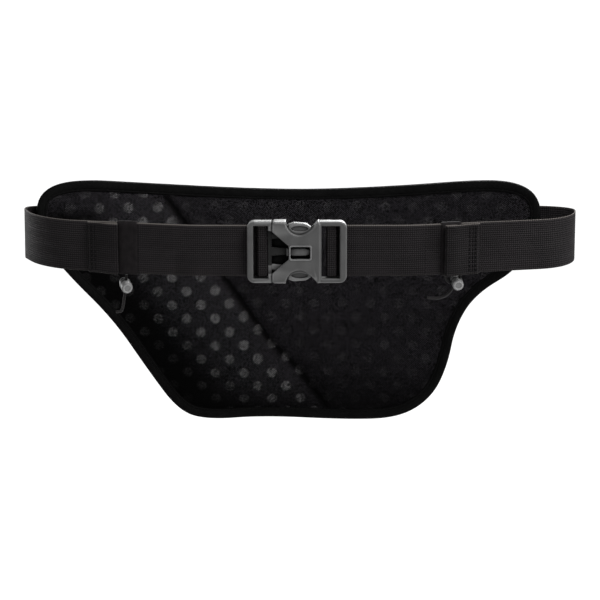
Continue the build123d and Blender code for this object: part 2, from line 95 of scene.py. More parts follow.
area_light("key", (0.75, -1.0, 1.15), (0, 0, -0.05), 0.7, 125)
area_light("fill", (-1.1, -1.1, 0.35), (0, 0, -0.05), 0.8, 26)
area_light("back", (0.5, 1.4, 0.9), (0, 0.05, -0.05), 0.9, 85)
area_light("side", (1.5, -0.35, 0.3), (0.15, 0, 0), 0.6, 60)
area_light("back_fill", (-1.3, 0.9, 0.3), (0, 0.05, -0.05), 0.8, 30)


# ---------------------------------------------------------------- materials
class Value:
    """A node's output, which adds and multiplies as a number does."""

    def __init__(self, graph, socket):
        self.graph, self.socket = graph, socket

    def __add__(self, other):
        return self.graph.math("ADD", self, other)

    def __sub__(self, other):
        return self.graph.math("SUBTRACT", self, other)

    def __mul__(self, other):
        return self.graph.math("MULTIPLY", self, other)

    def __pow__(self, power):
        return self.graph.math("POWER", self, power)

    def __abs__(self):
        return self.graph.math("ABSOLUTE", self)


class Graph:
    """A node material, with short ways to add and join its nodes."""

    def __init__(self, name):
        self.material = bpy.data.materials.new(name)
        self.material.use_nodes = True
        self.tree = self.material.node_tree

    def put(self, sockets, inputs):
        for key, value in inputs.items():
            if isinstance(value, Value):
                self.tree.links.new(value.socket, sockets[key])
            else:
                sockets[key].default_value = value

    def node(self, kind, inputs=None, out=0, **settings):
        """The named output of a new node with those inputs and settings."""
        made = self.tree.nodes.new(kind)
        for key, value in settings.items():
            setattr(made, key, value)
        self.put(made.inputs, inputs or {})
        return Value(self, made.outputs[out])

    def math(self, operation, *values):
        return self.node("ShaderNodeMath", dict(enumerate(values)), operation=operation)

    def most(self, first, second):
        return self.math("MAXIMUM", first, second)

    def ramp(self, value, low, high, to_low=0.0, to_high=1.0):
        """Value from low..high taken to to_low..to_high, clamped, with soft ends."""
        inputs = {"Value": value, "From Min": low, "From Max": high, "To Min": to_low, "To Max": to_high}
        return self.node("ShaderNodeMapRange", inputs, interpolation_type="SMOOTHSTEP")

    def mix(self, share, first, second):
        return self.node("ShaderNodeMix", {0: share, 6: first, 7: second}, out=2, data_type="RGBA")

    def split(self, vector):
        """A vector and its x, y and z."""
        parts = self.node("ShaderNodeSeparateXYZ", {0: vector}).socket.node.outputs
        return vector, *(Value(self, part) for part in parts)

    def place(self):
        """Place in the row frame, in millimetres, as (vector, x, y, z)."""
        source = self.node("ShaderNodeTexCoord", out="Object")
        return self.split(self.node("ShaderNodeVectorMath", {0: source, "Scale": 1 / MM}, operation="SCALE"))

    def along(self):
        """Place on a strip, in millimetres, as (vector, along it, across it)."""
        return self.split(self.node("ShaderNodeUVMap", uv_map="strip"))[:3]

    def noise(self, vector, scale, detail=3.0):
        return self.node("ShaderNodeTexNoise", {"Vector": vector, "Scale": scale, "Detail": detail})

    def wave(self, value, pitch, phase=0.0):
        """A wave of that pitch, from -1 to 1."""
        return self.math("SINE", self.math("MULTIPLY_ADD", value, 2 * math.pi / pitch, phase))

    def bump(self, height, distance_mm, strength, **more):
        inputs = {"Height": height, "Distance": distance_mm * MM, "Strength": strength, **more}
        return self.node("ShaderNodeBump", inputs)

    def finish(self, colour, rough, gloss, **more):
        inputs = {"Base Color": colour, "Roughness": rough, "Specular IOR Level": gloss, **more}
        self.put(self.tree.nodes["Principled BSDF"].inputs, inputs)
        return self.material


def grey(value, warmth=0.0, blue=0.5):
    """A near-neutral colour of that linear value: red raised by warmth, and blue by a share of that."""
    return (value * (1 + warmth), value, value * (1 + warmth * blue), 1)


RIB_PITCH = 3.2
PICK_PITCH = 1.6
SELVEDGE = (18.2, 18.8)


def webbing_material(name, fold=None):
    """Flat woven nylon: lengthwise ribs of crossing picks, pale along its edges from use, the top edge paler
    than the bottom as painted highlight.

    A hem gets painted shade from fold on, in millimetres along the strip."""
    g = Graph(name)
    strip, along, across = g.along()
    rib = abs(g.wave(across, RIB_PITCH, math.pi / 2))
    pick = abs(g.math("SINE", along * (math.pi / PICK_PITCH) + g.wave(across, RIB_PITCH) * 0.5))
    height = (pick * 0.8 + 0.2) * rib
    # The bottom selvedge pales at a quarter of the top's strength: the top's extra paleness is painted
    # highlight.
    low_edge = g.ramp(across, -SELVEDGE[0], -SELVEDGE[1], 0.0, 0.25)
    worn_and_lit = g.most(g.ramp(across, *SELVEDGE), low_edge) * (pick * 0.9 + 0.1)
    blotch = g.ramp(g.noise(strip, 0.035), 0.3, 0.7, 0.8, 1.25)
    share = (height**1.8 * 1.75 + 0.02) * blotch * (g.noise(strip, 0.9, 4) * 1.6 + 0.2)
    # Painted shade on the hem's flap.
    if fold is not None:
        share = share * g.ramp(along, fold, fold + 3, 1.0, 0.62)
    colour = g.mix(share, grey(0.0001), grey(0.0043, 0.13, 0.45))
    colour = g.mix(worn_and_lit * 0.9, colour, grey(0.027, 0.10, -0.7))
    return g.finish(colour, 0.55, 0.012, Normal=g.bump(height, 0.28, 0.8))


def elastic_material(name):
    """Smooth knitted elastic: fine ribs round the band."""
    g = Graph(name)
    strip, along, across = g.along()
    height = g.wave(across, 0.9) * 0.5 + g.wave(along, 0.7) * 0.25 + 1.0
    share = height * g.ramp(g.noise(strip, 0.2), 0.3, 0.7, 0.45, 0.8)
    colour = g.mix(share, grey(0.0002), grey(0.0027, 0.14, 0.4))
    return g.finish(colour, 0.75, 0.012, Normal=g.bump(height, 0.12, 0.6))


def tape_material(name, level, pitch=0.9):
    """Ribbed tape for bindings and hems, in row-frame millimetres."""
    g = Graph(name)
    place, x, y, z = g.place()
    rib = g.wave(x, pitch) + g.wave(y, pitch) + g.wave(z, pitch)
    blotch = g.ramp(g.noise(place, 0.05), 0.3, 0.7, 0.7, 1.2)
    share = (rib * 0.12 + 0.55) * blotch + g.noise(place, 0.8, 4) * 0.4 - 0.2
    return g.finish(g.mix(share, grey(level * 0.25), grey(level)), 0.7, 0.006, Normal=g.bump(rib, 0.1, 0.5))


# The mesh's dots, on a staggered lattice: one dot's (x, z), the lattice's cell, and their radius.
DOT_AT = (-77.2, -58.6)
DOT_CELL = (22.1, 21.7)
DOT_R = 3.9


def mesh_material(name):
    """Spacer mesh over perforated foam: staggered dots show through a fine open knit, with painted light and
    shade from two point attributes.
    """
    g = Graph(name)
    place, x, y, z = g.place()

    def nearest(cell, at=(0, 0)):
        """Distance to the nearest centre of a staggered lattice."""
        gaps = []
        for half in (0.0, 0.5):
            across, up = (g.math("WRAP", value - (first + half * size), size / 2, -size / 2)
                          for value, first, size in zip((x, z), at, cell))
            gaps.append(g.math("SQRT", across**2.0 + up**2.0))
        return g.math("MINIMUM", *gaps)

    ragged = g.noise(place, 0.55, 2) * 1.2 - 0.6
    dot = g.ramp(nearest(DOT_CELL, DOT_AT) + ragged, DOT_R + 0.45, DOT_R - 0.55)
    hole = g.ramp(nearest((1.9, 1.5)), 0.25, 0.6)
    # Both attributes say where the dots and paler knit are, and carry painted light and shade as well.
    dots_with_painted_light, knit_with_painted_light = (g.node("ShaderNodeAttribute", out="Fac", attribute_name=key) for key in ("dots_with_painted_light", "knit_with_painted_light"))
    grain = g.noise(place, 1.1, 5)
    streak = g.noise(g.node("ShaderNodeCombineXYZ", {0: x * 0.09, 2: z}), 0.8)
    knit = hole * g.ramp(grain, 0.42, 0.58, 0.05, 1.9)
    colour = g.mix(knit * (streak * 1.6 + 0.15) * knit_with_painted_light, grey(0.0001), grey(0.0046, 0.08, 1.7))
    hatch = g.wave(x + z, 2.3) * g.wave(x - z, 2.3)
    woven = (hatch * 0.75 + 0.95) * (g.noise(place, 0.07, 1) * 2.0 + 0.05)
    colour = g.mix(dot * knit * woven * dots_with_painted_light, colour, grey(0.026, 0.02))
    return g.finish(colour, 0.85, 0.006, Normal=g.bump(hole * grain, 0.3, 0.9))


def cloth_material(name, level, pitch, gloss, ripstop=None, on_strip=False):
    """Plain woven cloth, with a raised ripstop grid if ripstop gives its pitch."""
    g = Graph(name)
    place, x, y, z = g.place()
    if on_strip:
        _, x, z = g.along()
    grain = g.noise(place, 0.5, 5)
    height = g.noise(place, 1 / pitch, 2) * 0.6 + 0.2
    for direction in (x, z) if ripstop else ():
        height = height + g.ramp(abs(g.wave(direction, 2 * ripstop)), 0.16, 0.02) * 0.6
    blotch = g.ramp(g.noise(place, 0.03), 0.3, 0.7, 0.75, 1.15)
    colour = g.mix(height * blotch * (grain * 0.8 + 0.6), grey(level * 0.35), grey(level))
    rough = g.ramp(grain, 0.3, 0.7, 0.55, 0.75)
    return g.finish(colour, rough, gloss, Normal=g.bump(height, 0.14, 0.6))


def painted_notch_shade(g, x, y, z, least):
    """Painted shade on the buckle, as a share of its colour: from least, deep in its notch and behind its
    window, to 1 everywhere else.

    x, y and z are in the row frame, up and out in the buckle's plane, turned down by DROOP."""
    up = z * math.cos(DROOP) + y * -math.sin(DROOP)
    out = y * -math.cos(DROOP) + z * -math.sin(DROOP) + BELT_FRONT_Y
    lit = least
    for value, dark, light in ((out, 4.7, 5.1), (out, 1.5, 0.6), (up, 16.0, 16.6), (up, -9.8, -11.0),
                               (x, -24.0, -24.6), (x, 10.0, 10.6)):
        lit = g.most(g.ramp(value, dark, light), lit)
    return lit


def moulded_material(name, level, rough, gloss=0.5, wear_and_glint=2.2, metal=0.0, round_mm=0.5, notch=None):
    """Moulded plastic or cast metal: fine spark grain, edges rounded and paler from use and as painted
    highlight, faint scuffs, and painted shade in recesses.
    """
    g = Graph(name)
    place, x, y, z = g.place()
    edge = g.ramp(g.node("ShaderNodeNewGeometry", out="Pointiness"), 0.505, 0.56)
    grain = g.noise(place, 1 / 0.6, 5)
    cloud = g.noise(place, 0.11)
    # Painted shade: colour darkens to near black, and gloss drops, in recesses that ambient occlusion finds.
    shade = g.node("ShaderNodeAmbientOcclusion", {"Distance": 9 * MM}, out="AO", samples=8)
    painted_crevice_shade = g.ramp(shade, 0.35, 0.95, 0.12, 1.0)
    # Deeper painted shade in the buckle's notch and behind its window.
    if notch is not None:
        painted_crevice_shade = painted_crevice_shade * painted_notch_shade(g, x, y, z, notch)
    # Edges paler by their sharpness, partly from use and partly as painted highlight.
    worn_and_lit = g.mix(edge * 0.75 + cloud * 0.3 - 0.1, grey(level), grey(level * wear_and_glint))
    spread = g.ramp(cloud, 0.3, 0.7, rough - 0.06, rough + 0.08) + grain * 0.06
    bevel = g.node("ShaderNodeBevel", {"Radius": round_mm * MM}, samples=6)
    return g.finish(g.mix(painted_crevice_shade, grey(level * 0.03), worn_and_lit), spread, painted_crevice_shade * gloss, Metallic=metal,
                    Normal=g.bump(grain, 0.1, 0.12, Normal=bevel))


def cord_material(name):
    """Braided elastic cord: crossing diagonal strands."""
    g = Graph(name)
    place, x, y, z = g.place()
    braid = g.most(g.wave(z + x * 1.3, 1.1), g.wave(z - x * 1.3, 1.1))
    share = braid * 0.3 + g.noise(place, 1.2) * 0.7 + 0.05
    colour = g.mix(share, grey(0.0003), grey(0.0026, 0.15, 0.3))
    return g.finish(colour, 0.7, 0.05, Normal=g.bump(braid, 0.2, 0.7))


def floor_material(name):
    """Plain pale studio floor."""
    g = Graph(name)
    return g.finish(g.mix(g.noise(g.place()[0], 0.004, 2), grey(0.90), grey(0.94)), 0.9, 0.0)


BUCKLE = dict(level=0.0078, rough=0.5, gloss=0.15, wear_and_glint=3.6, round_mm=1.5)
SHELL = dict(level=0.011, pitch=0.7, gloss=0.1, ripstop=5.5)
# The frame's own materials may hold these names already, so a new one's may end in a number.
materials = {made.name.split(".")[0]: made for made in (
    webbing_material("webbing"),
    elastic_material("elastic"),
    tape_material("binding", 0.0009),
    tape_material("zip_tape", 0.006, 1.4),
    tape_material("thread", 0.0014, 0.5),
    mesh_material("spacer_mesh"),
    cloth_material("lining", 0.009, 0.8, 0.05),
    cloth_material("stretch_fabric", 0.007, 1.3, 0.05),
    cloth_material("shell_fabric", **SHELL),
    cloth_material("sleeve_fabric", **SHELL, on_strip=True),
    moulded_material("zip_plastic", 0.005, 0.4, gloss=0.15),
    moulded_material("slider_metal", 0.03, 0.35, gloss=0.3, metal=0.6),
    moulded_material("pull_plastic", 0.012, 0.5, gloss=0.2),
    moulded_material("buckle_plastic", **BUCKLE),
    # Copies of the buckle plastic with painted shade in its notch and behind its window.
    moulded_material("female_notch_painted_shade", **BUCKLE, notch=0.05),
    moulded_material("male_notch_painted_shade", **BUCKLE, notch=0.17),
    moulded_material("lock_plastic", 0.018, 0.42, gloss=0.2, wear_and_glint=2.5),
    moulded_material("spring_steel", 0.5, 0.3, metal=1.0),
    cord_material("cord"),
)}

SLOT_OF_NODE = {s["node"]: s["material_slot"] for s in frame["record"]["subparts"]}
# The buckle parts round its notch take the copies with painted shade.
PAINTED_SHADE_NODES = {"buckle_male": "male_notch_painted_shade", "upper_prong": "male_notch_painted_shade", "buckle_female": "female_notch_painted_shade"}
for name, node in nodes.items():
    node.data.materials.clear()
    slot = PAINTED_SHADE_NODES.get(name, SLOT_OF_NODE[name])
    node.data.materials.append(materials.get(slot, materials["lining"]))


# ---------------------------------------------------------------- mesh helpers
def piece(name, shape, material, body=None, replaces=()):
    """A closed mesh piece of a shape: points in millimetres, faces, and maybe each one's place on a strip."""
    points, faces, *strip = shape
    mesh = bpy.data.meshes.new(name)
    mesh.from_pydata((np.asarray(points, float) * MM).tolist(), [], [list(map(int, f)) for f in faces])
    if strip:
        layer = mesh.uv_layers.new(name="strip")
        corner = np.zeros(len(mesh.loops), int)
        mesh.loops.foreach_get("vertex_index", corner)
        layer.data.foreach_set("uv", strip[0][corner].ravel())
    tidy = bmesh.new()
    tidy.from_mesh(mesh)
    bmesh.ops.recalc_face_normals(tidy, faces=tidy.faces)
    tidy.to_mesh(mesh)
    tidy.free()
    mesh.polygons.foreach_set("use_smooth", [True] * len(mesh.polygons))
    mesh.set_sharp_from_angle(angle=math.radians(55))
    made = bpy.data.objects.new(name, mesh)
    scene.collection.objects.link(made)
    mesh.materials.append(materials[material])
    if replaces:
        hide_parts(*replaces)
    if body:
        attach(made, body)
    return made


def merged(parts):
    """Joins (points, faces) lists into one."""
    points, faces = [], []
    for some_points, some_faces in parts:
        start = len(points)
        points.extend(some_points)
        faces.extend([[start + i for i in f] for f in some_faces])
    return points, faces


def run_along(line):
    """Length along a line up to each of its points."""
    return np.concatenate([[0], np.cumsum(np.linalg.norm(np.diff(line, axis=0), axis=1))])


def tube_faces(count, ring, closed=False):
    """Faces between neighbouring rings of points, joined end to end if closed, else capped at both ends."""
    faces = [(i * ring + j, i * ring + (j + 1) % ring,
              (i + 1) % count * ring + (j + 1) % ring, (i + 1) % count * ring + j)
             for i in range(count if closed else count - 1) for j in range(ring)]
    return faces if closed else faces + [range(ring), range((count - 1) * ring, count * ring)]


def sweep(centres, wide, out, section, closed=False):
    """The shape of a section of (wide, out) pairs carried along centres."""
    centres, section = np.asarray(centres, float), np.asarray(section, float)
    wide, out = (np.broadcast_to(a, centres.shape)[:, None] for a in (wide, out))
    count, ring = len(centres), section.shape[-2]
    section = np.broadcast_to(section, (count, ring, 2))
    points = centres[:, None] + section[..., :1] * wide + section[..., 1:] * out
    run = np.broadcast_to(run_along(centres)[:, None], (count, ring))
    strip = np.stack([run, section[..., 0]], -1)
    return points.reshape(-1, 3), tube_faces(count, ring, closed), strip.reshape(-1, 2)


def ease(t):
    t = np.clip(t, 0, 1)
    return t * t * (3 - 2 * t)


def unit(vectors):
    vectors = np.asarray(vectors, float)
    return vectors / np.linalg.norm(vectors, axis=-1, keepdims=True)


def closed_ways(line):
    """Directions along a closed line, at its points."""
    return unit(np.roll(line, -1, 0) - np.roll(line, 1, 0))


def turned(ways):
    """Directions in a plane turned a quarter clockwise, so in from a clockwise outline."""
    return np.c_[ways[:, 1], -ways[:, 0]]


def raised(flat, y):
    """Points at those (x, z) and depths."""
    return np.c_[flat[:, 0], np.broadcast_to(y, len(flat)), flat[:, 1]]


def resample(points, step, closed=False):
    """The same line with even steps."""
    points = np.asarray(points, float)
    if closed:
        points = np.vstack([points, points[:1]])
    run = run_along(points)
    places = np.linspace(0, run[-1], max(2, round(run[-1] / step)) + 1)
    made = np.stack([np.interp(places, run, column) for column in points.T], 1)
    return made[:-1] if closed else made


def soft_outline(corners, per_corner=8):
    """Smooth closed line pulled by its corner points, which touches the middle of each side."""
    corners = np.asarray(corners, float)
    made = []
    for before, here, after in zip(np.roll(corners, 1, 0), corners, np.roll(corners, -1, 0)):
        start, end = (before + here) / 2, (here + after) / 2
        for t in np.linspace(0, 1, per_corner, endpoint=False):
            made.append(start * (1 - t) ** 2 + here * 2 * t * (1 - t) + end * t * t)
    return np.array(made)


def rounded(corners, radius, closed=False, count=6):
    """Straight sides with arcs of one radius at the corners."""
    corners = np.asarray(corners, float)
    made = []
    for i, here in enumerate(corners):
        if not closed and i in (0, len(corners) - 1):
            made.append(here)
            continue
        before, after = corners[i - 1], corners[(i + 1) % len(corners)]
        one, two = unit(before - here), unit(after - here)
        half = math.acos(np.clip(one @ two, -1, 1)) / 2
        centre = here + unit(one + two) * radius / math.sin(half)
        start, end = (here + way * radius / math.tan(half) - centre for way in (one, two))
        for t in np.linspace(0, 1, count):
            way = start * math.sin((1 - t) * (math.pi / 2 - half)) + end * math.sin(t * (math.pi / 2 - half))
            made.append(centre + unit(way) * radius)
    return np.array(made)


def rounded_box(half_wide, low, high, radius, count, step):
    """Outline of a box with rounded corners, in even steps."""
    corners = [(-half_wide, low), (half_wide, low), (half_wide, high), (-half_wide, high)]
    return resample(rounded(corners, radius, closed=True, count=count), step, closed=True)


def band_section(half_wide, count, thickness, edge):
    """Section of a flat band, from half its thickness across it, its edges rounded over a width of edge."""
    across = np.linspace(-half_wide, half_wide, count)
    near_edge = np.maximum(0, np.abs(across) - half_wide + edge) / edge
    fat = thickness(across) * np.sqrt(np.clip(1 - near_edge**2, 0, 1))
    return np.vstack([np.c_[across, fat], np.c_[across, -fat][-2:0:-1]])


def round_section(radius):
    turns = np.linspace(0, 2 * math.pi, 10, endpoint=False)
    return radius * np.c_[np.cos(turns), np.sin(turns)]


def arc(centre, radius, start, end, count):
    """Points on an arc between two bearings in radians."""
    bearings = np.linspace(start, end, count)
    return np.c_[centre[0] + radius * np.cos(bearings), centre[1] + radius * np.sin(bearings)]


def distance_to_line(points, line, closed=False):
    """Distance in the plane from each point to a polyline."""
    points, line = np.asarray(points, float), np.asarray(line, float)
    ends = np.roll(line, -1, 0) if closed else line[1:]
    starts = line if closed else line[:-1]
    best = np.full(len(points), 1e9)
    for a, b in zip(starts, ends):
        ab = b - a
        t = np.clip(((points - a) @ ab) / max(ab @ ab, 1e-12), 0, 1)
        best = np.minimum(best, np.linalg.norm(points - a - t[:, None] * ab, axis=1))
    return best


def inside(points, outline):
    """Whether each point lies inside a closed outline."""
    points, outline = np.asarray(points, float), np.asarray(outline, float)
    x, z = points[:, 0], points[:, 1]
    found = np.zeros(len(points), bool)
    for (x0, z0), (x1, z1) in zip(outline, np.roll(outline, -1, 0)):
        crosses = (z0 > z) != (z1 > z)
        with np.errstate(divide="ignore", invalid="ignore"):
            found ^= crosses & (x < (x1 - x0) * (z - z0) / (z1 - z0) + x0)
    return found


def filled(outline, spacing, line=None):
    """Even triangles over an outline, with edges along an optional line inside it."""
    outline = np.asarray(outline, float)
    low, high = outline.min(0), outline.max(0)
    rows = np.arange(low[1], high[1], spacing * 0.866)
    lattice = np.array([(x + (i % 2) * spacing / 2, z) for i, z in enumerate(rows)
                        for x in np.arange(low[0], high[0], spacing)])
    lattice = lattice[inside(lattice, outline)]
    lattice = lattice[distance_to_line(lattice, outline, closed=True) > spacing * 0.55]
    edges = [(i, (i + 1) % len(outline)) for i in range(len(outline))]
    given = [outline]
    if line is not None:
        lattice = lattice[distance_to_line(lattice, line) > spacing * 0.5]
        start = len(outline)
        edges += [(start + i, start + i + 1) for i in range(len(line) - 1)]
        given.append(line)
    given.append(lattice)
    flat = [Vector(p) for p in np.vstack(given)]
    points, _, faces, _, _, _ = geometry.delaunay_2d_cdt(flat, edges, [], 1, 1e-4)
    points = np.array([tuple(p) for p in points])
    sides = {}
    for face in faces:
        for a, b in zip(face, list(face[1:]) + [face[0]]):
            sides[(a, b)] = face
    rim = [(a, b) for a, b in sides if (b, a) not in sides]
    return points, [list(f) for f in faces], rim


def closed_slab(front, back, faces, rim):
    """Points and faces of two matching skins joined round their rim."""
    count = len(front)
    both = np.vstack([front, back])
    made = [list(f) for f in faces] + [[i + count for i in reversed(f)] for f in faces]
    made += [[b, a, a + count, b + count] for a, b in rim]
    return both, made


def mesh_points(mesh):
    """A mesh's points, in millimetres."""
    found = np.zeros(len(mesh.vertices) * 3)
    mesh.vertices.foreach_get("co", found)
    return found.reshape(-1, 3) / MM


def move_points(made, points):
    made.data.vertices.foreach_set("co", (np.asarray(points) * MM).ravel())
    made.data.update()


CLOTH_FRAMES = 18


def evaluated(made):
    return made.evaluated_get(bpy.context.evaluated_depsgraph_get())


def inflate(made, pinned, pressure, cap):
    """Blow a closed piece up as cloth, held at the pinned points, none moving more than cap millimetres."""
    rest = mesh_points(made.data)
    group = made.vertex_groups.new(name="pins")
    group.add([int(i) for i in np.flatnonzero(pinned)], 1.0, "REPLACE")
    cloth = made.modifiers.new("cloth", "CLOTH")
    settings = cloth.settings
    settings.quality = 5
    settings.mass = 0.2
    settings.tension_stiffness = settings.compression_stiffness = 12.0
    settings.shear_stiffness = 4
    settings.bending_stiffness = 0.4
    settings.vertex_group_mass = "pins"
    settings.use_pressure = True
    settings.uniform_pressure_force = pressure
    settings.effector_weights.gravity = 0
    cloth.collision_settings.use_collision = False
    for number in range(1, CLOTH_FRAMES + 1):
        scene.frame_set(number)
    moved = mesh_points(evaluated(made).to_mesh()) - rest
    evaluated(made).to_mesh_clear()
    made.modifiers.remove(cloth)
    made.vertex_groups.remove(group)
    scene.frame_set(1)
    size = np.maximum(np.linalg.norm(moved, axis=1, keepdims=True), 1e-9)
    move_points(made, rest + moved / size * cap * np.tanh(size / cap))


def refine(made):
    """Apply one smooth subdivision."""
    modifier = made.modifiers.new("refine", "SUBSURF")
    modifier.levels = modifier.render_levels = 1
    shape = bpy.data.meshes.new_from_object(evaluated(made))
    made.modifiers.remove(modifier)
    old, made.data = made.data, shape
    bpy.data.meshes.remove(old)
    shape.polygons.foreach_set("use_smooth", [True] * len(shape.polygons))


def surface(made):
    return BVHTree.FromObject(made, bpy.context.evaluated_depsgraph_get())


def snapped(points, made, lift):
    """The nearest places on a piece's surface, raised off it by lift millimetres."""
    tree = surface(made)
    found = [tree.find_nearest(Vector(point) * MM)[:2] for point in points]
    return np.array([np.array(place) / MM + np.array(normal) * lift for place, normal in found])


def ripple(points, size, seed):
    """Smooth noise from -1 to 1 at each point, with features of about that size in millimetres."""
    return np.array([noise.noise(Vector(p) / size + Vector((seed * 17.3, 0, 0))) for p in points])


STITCH_LONG = 2.7
STITCH_STEP = 3.9
STITCH_R = 0.33


def stitches(line, normals, step=STITCH_STEP):
    """Raised thread stitches along a line of points, each lying on the side its normal gives."""
    line = np.asarray(line, float)
    normals = np.broadcast_to(np.asarray(normals, float), line.shape)
    run = run_along(line)

    def at(place, values):
        return np.array([np.interp(place, run, column) for column in values.T])

    turns = np.linspace(0, 2 * math.pi, 6, endpoint=False)
    parts = []
    for middle in np.arange(step / 2, run[-1] - step / 3, step):
        start, end = at(middle - STITCH_LONG / 2, line), at(middle + STITCH_LONG / 2, line)
        out, along = unit(at(middle, normals)), unit(end - start)
        side = np.cross(along, out)
        points = []
        for share in (-1, -0.8, -0.3, 0.3, 0.8, 1):
            fat = STITCH_R * math.sqrt(max(0.06, 1 - share**4))
            centre = (start + end) / 2 + along * share * STITCH_LONG / 2 - out * share**4 * STITCH_R * 0.8
            points += [centre + (side * math.cos(a) + out * math.sin(a)) * fat for a in turns]
        parts.append((points, tube_faces(6, 6)))
    return merged(parts)


def thread(name, rows, body="pack"):
    """One thread piece from rows of stitches."""
    piece(name, merged(rows), "thread", body=body)


# ---------------------------------------------------------------- cords
CORD_D = 2.2
CORDS = {
    "left": [(-128.7, -42.0, -25.3), (-130.4, -38.0, -40.2), (-131.9, -37.0, -50.0),
             (-133.2, -36.6, -54.6), (-137.4, -36.2, -54.0)],
    "right": [(119.0, -44.2, -25.5), (113.2, -41.4, -36.9), (107.6, -40.8, -42.2),
              (100.9, -41.2, -43.7), (94.6, -41.8, -42.8)],
}
CORD_RETURN = [(107.6, -46.2, -25.8), (107.9, -45.4, -29.3), (111.2, -44.3, -31.2)]


def shock_cord(name, points, word, replaced):
    """A round cord as a smooth spline with those control points."""
    curve = bpy.data.curves.new(name, "CURVE")
    curve.dimensions = "3D"
    curve.bevel_depth = CORD_D / 2 * MM
    curve.bevel_resolution = 4
    curve.use_fill_caps = True
    curve.resolution_u = 24
    spline = curve.splines.new("NURBS")
    spline.points.add(len(points) - 1)
    for point, place in zip(spline.points, points):
        point.co = (*(c * MM for c in place), 1)
    spline.order_u = 3
    spline.use_endpoint_u = True
    made = bpy.data.objects.new(name, curve)
    scene.collection.objects.link(made)
    curve.materials.append(materials["cord"])
    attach(made, f"{word}_keeper")
    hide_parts(replaced)
    return made


for word, points in CORDS.items():
    made = shock_cord(f"{word}_shock_cord", points, word, f"{word}_cord")
    [c * MM for c in points[0]]
shock_cord("right_shock_cord_return", CORD_RETURN, "right", "right_cord_return")

LOCK_R = 4.1
LOCK_SHARE = {"left": 0.55, "right": 0.47}
LOCK_FACING = {"left": (0.27, -0.93, -0.26), "right": (0.12, -0.95, -0.28)}
RING_TURNS = 40
# Each ring's material, and its section as (radius past the barrel's, place ahead of the lock's middle):
# a dark grip band, and a raised rim round the lock's face.
LOCK_RINGS = {
    "grip": ("zip_plastic",
             [(-0.3, -1.9), (0.25, -1.7), (0.34, -1.0), (0.34, -0.1), (0.25, 0.6), (-0.3, 0.8)]),
    "rim": ("lock_plastic",
            [(-0.7, 6.5), (-0.72, 6.8), (-1.05, 6.98), (-1.5, 6.95), (-1.8, 6.75), (-1.8, 6.5)]),
}
for word, (start, end, *_) in CORDS.items():
    start, end, facing = np.array(start), np.array(end), np.array(LOCK_FACING[word])
    down = unit(end - start)
    facing = unit(facing - down * (facing @ down))
    middle = start + (end - start) * LOCK_SHARE[word]
    around = np.linspace(0, 2 * math.pi, RING_TURNS, endpoint=False)[:, None]
    spokes = np.cos(around) * down + np.sin(around) * np.cross(facing, down)
    for ring_name, (material, section) in LOCK_RINGS.items():
        points = np.vstack([middle + facing * ahead + spokes * (LOCK_R + past) for past, ahead in section])
        faces = tube_faces(len(section), RING_TURNS, closed=True)
        piece(f"{word}_lock_{ring_name}", (points, faces), material, body=f"{word}_lock")

# ---------------------------------------------------------------- belt lines, as the part has them
WEB_WIDE = 38.0
LAYER = 1.5
SLANT = math.radians(11.4)
SLANT_END = (80.0, BELT_FRONT_Y)
PANEL_CURVE = 660.0
PANEL_MID_X = -8.0
PANEL_MID_Y = 47.0
PANEL = 9.0
REAR_R = PANEL_CURVE + PANEL + 0.8 + 0.9
ANCHOR_X = {-1: 150.0, 1: 130.0}
LEAVE_X = {-1: 202.5, 1: 188.0}
EXTREME_X = {-1: 210.5, 1: 208.3}
HEM_FOLD_X = {-1: 154.8, 1: 129.5}
HEM_FREE_X = {-1: 134.6, 1: 106.5}
HEM_GAP = {-1: 2.5, 1: 3.8}
KEEPER_X = {-1: (119.4, 134.2), 1: (103.6, 118.2)}
BUCKLE_X = -2.2
SPLIT_X = 92.0             # where the webbing that moves with a buckle half begins
WAVE = 0.4                 # how far the loose webbing waves in and out
WORDS = {-1: "left", 1: "right"}


def slant_point(x, layer):
    """A plan point on the slanting webbing, a distance outside its inner layer."""
    along = (x - SLANT_END[0]) / math.cos(SLANT)
    return (SLANT_END[0] + along * math.cos(SLANT) + layer * math.sin(SLANT),
            SLANT_END[1] + along * math.sin(SLANT) - layer * math.cos(SLANT))


def rear_line(side):
    """Plan line of one side's webbing from its sewn end round the side bend to SPLIT_X."""
    mid_x = side * PANEL_MID_X
    centre = (mid_x, PANEL_MID_Y - PANEL_CURVE)
    lean = math.asin((LEAVE_X[side] - mid_x) / REAR_R)
    leave_y = centre[1] + REAR_R * math.cos(lean)
    tip_r = (EXTREME_X[side] - LEAVE_X[side]) / (1 - math.sin(lean))
    tip = (EXTREME_X[side] - tip_r, leave_y - tip_r * math.cos(lean))
    reach = SLANT_END[0] * math.sin(SLANT) - SLANT_END[1] * math.cos(SLANT)
    front_r = (reach - EXTREME_X[side] * math.sin(SLANT) + tip[1] * math.cos(SLANT)) / (1 - math.sin(SLANT))
    front = (EXTREME_X[side] - front_r, tip[1])
    wing_from = math.acos((ANCHOR_X[side] - mid_x) / REAR_R)
    wing_to = math.acos((LEAVE_X[side] - mid_x) / REAR_R)
    return np.vstack([
        arc(centre, REAR_R, wing_from, wing_to, 20),
        arc(tip, tip_r, wing_to, 0, 20)[1:],
        arc(front, front_r, 0, SLANT - math.pi / 2, 40)[1:],
        [slant_point(SPLIT_X, 0)],
    ])


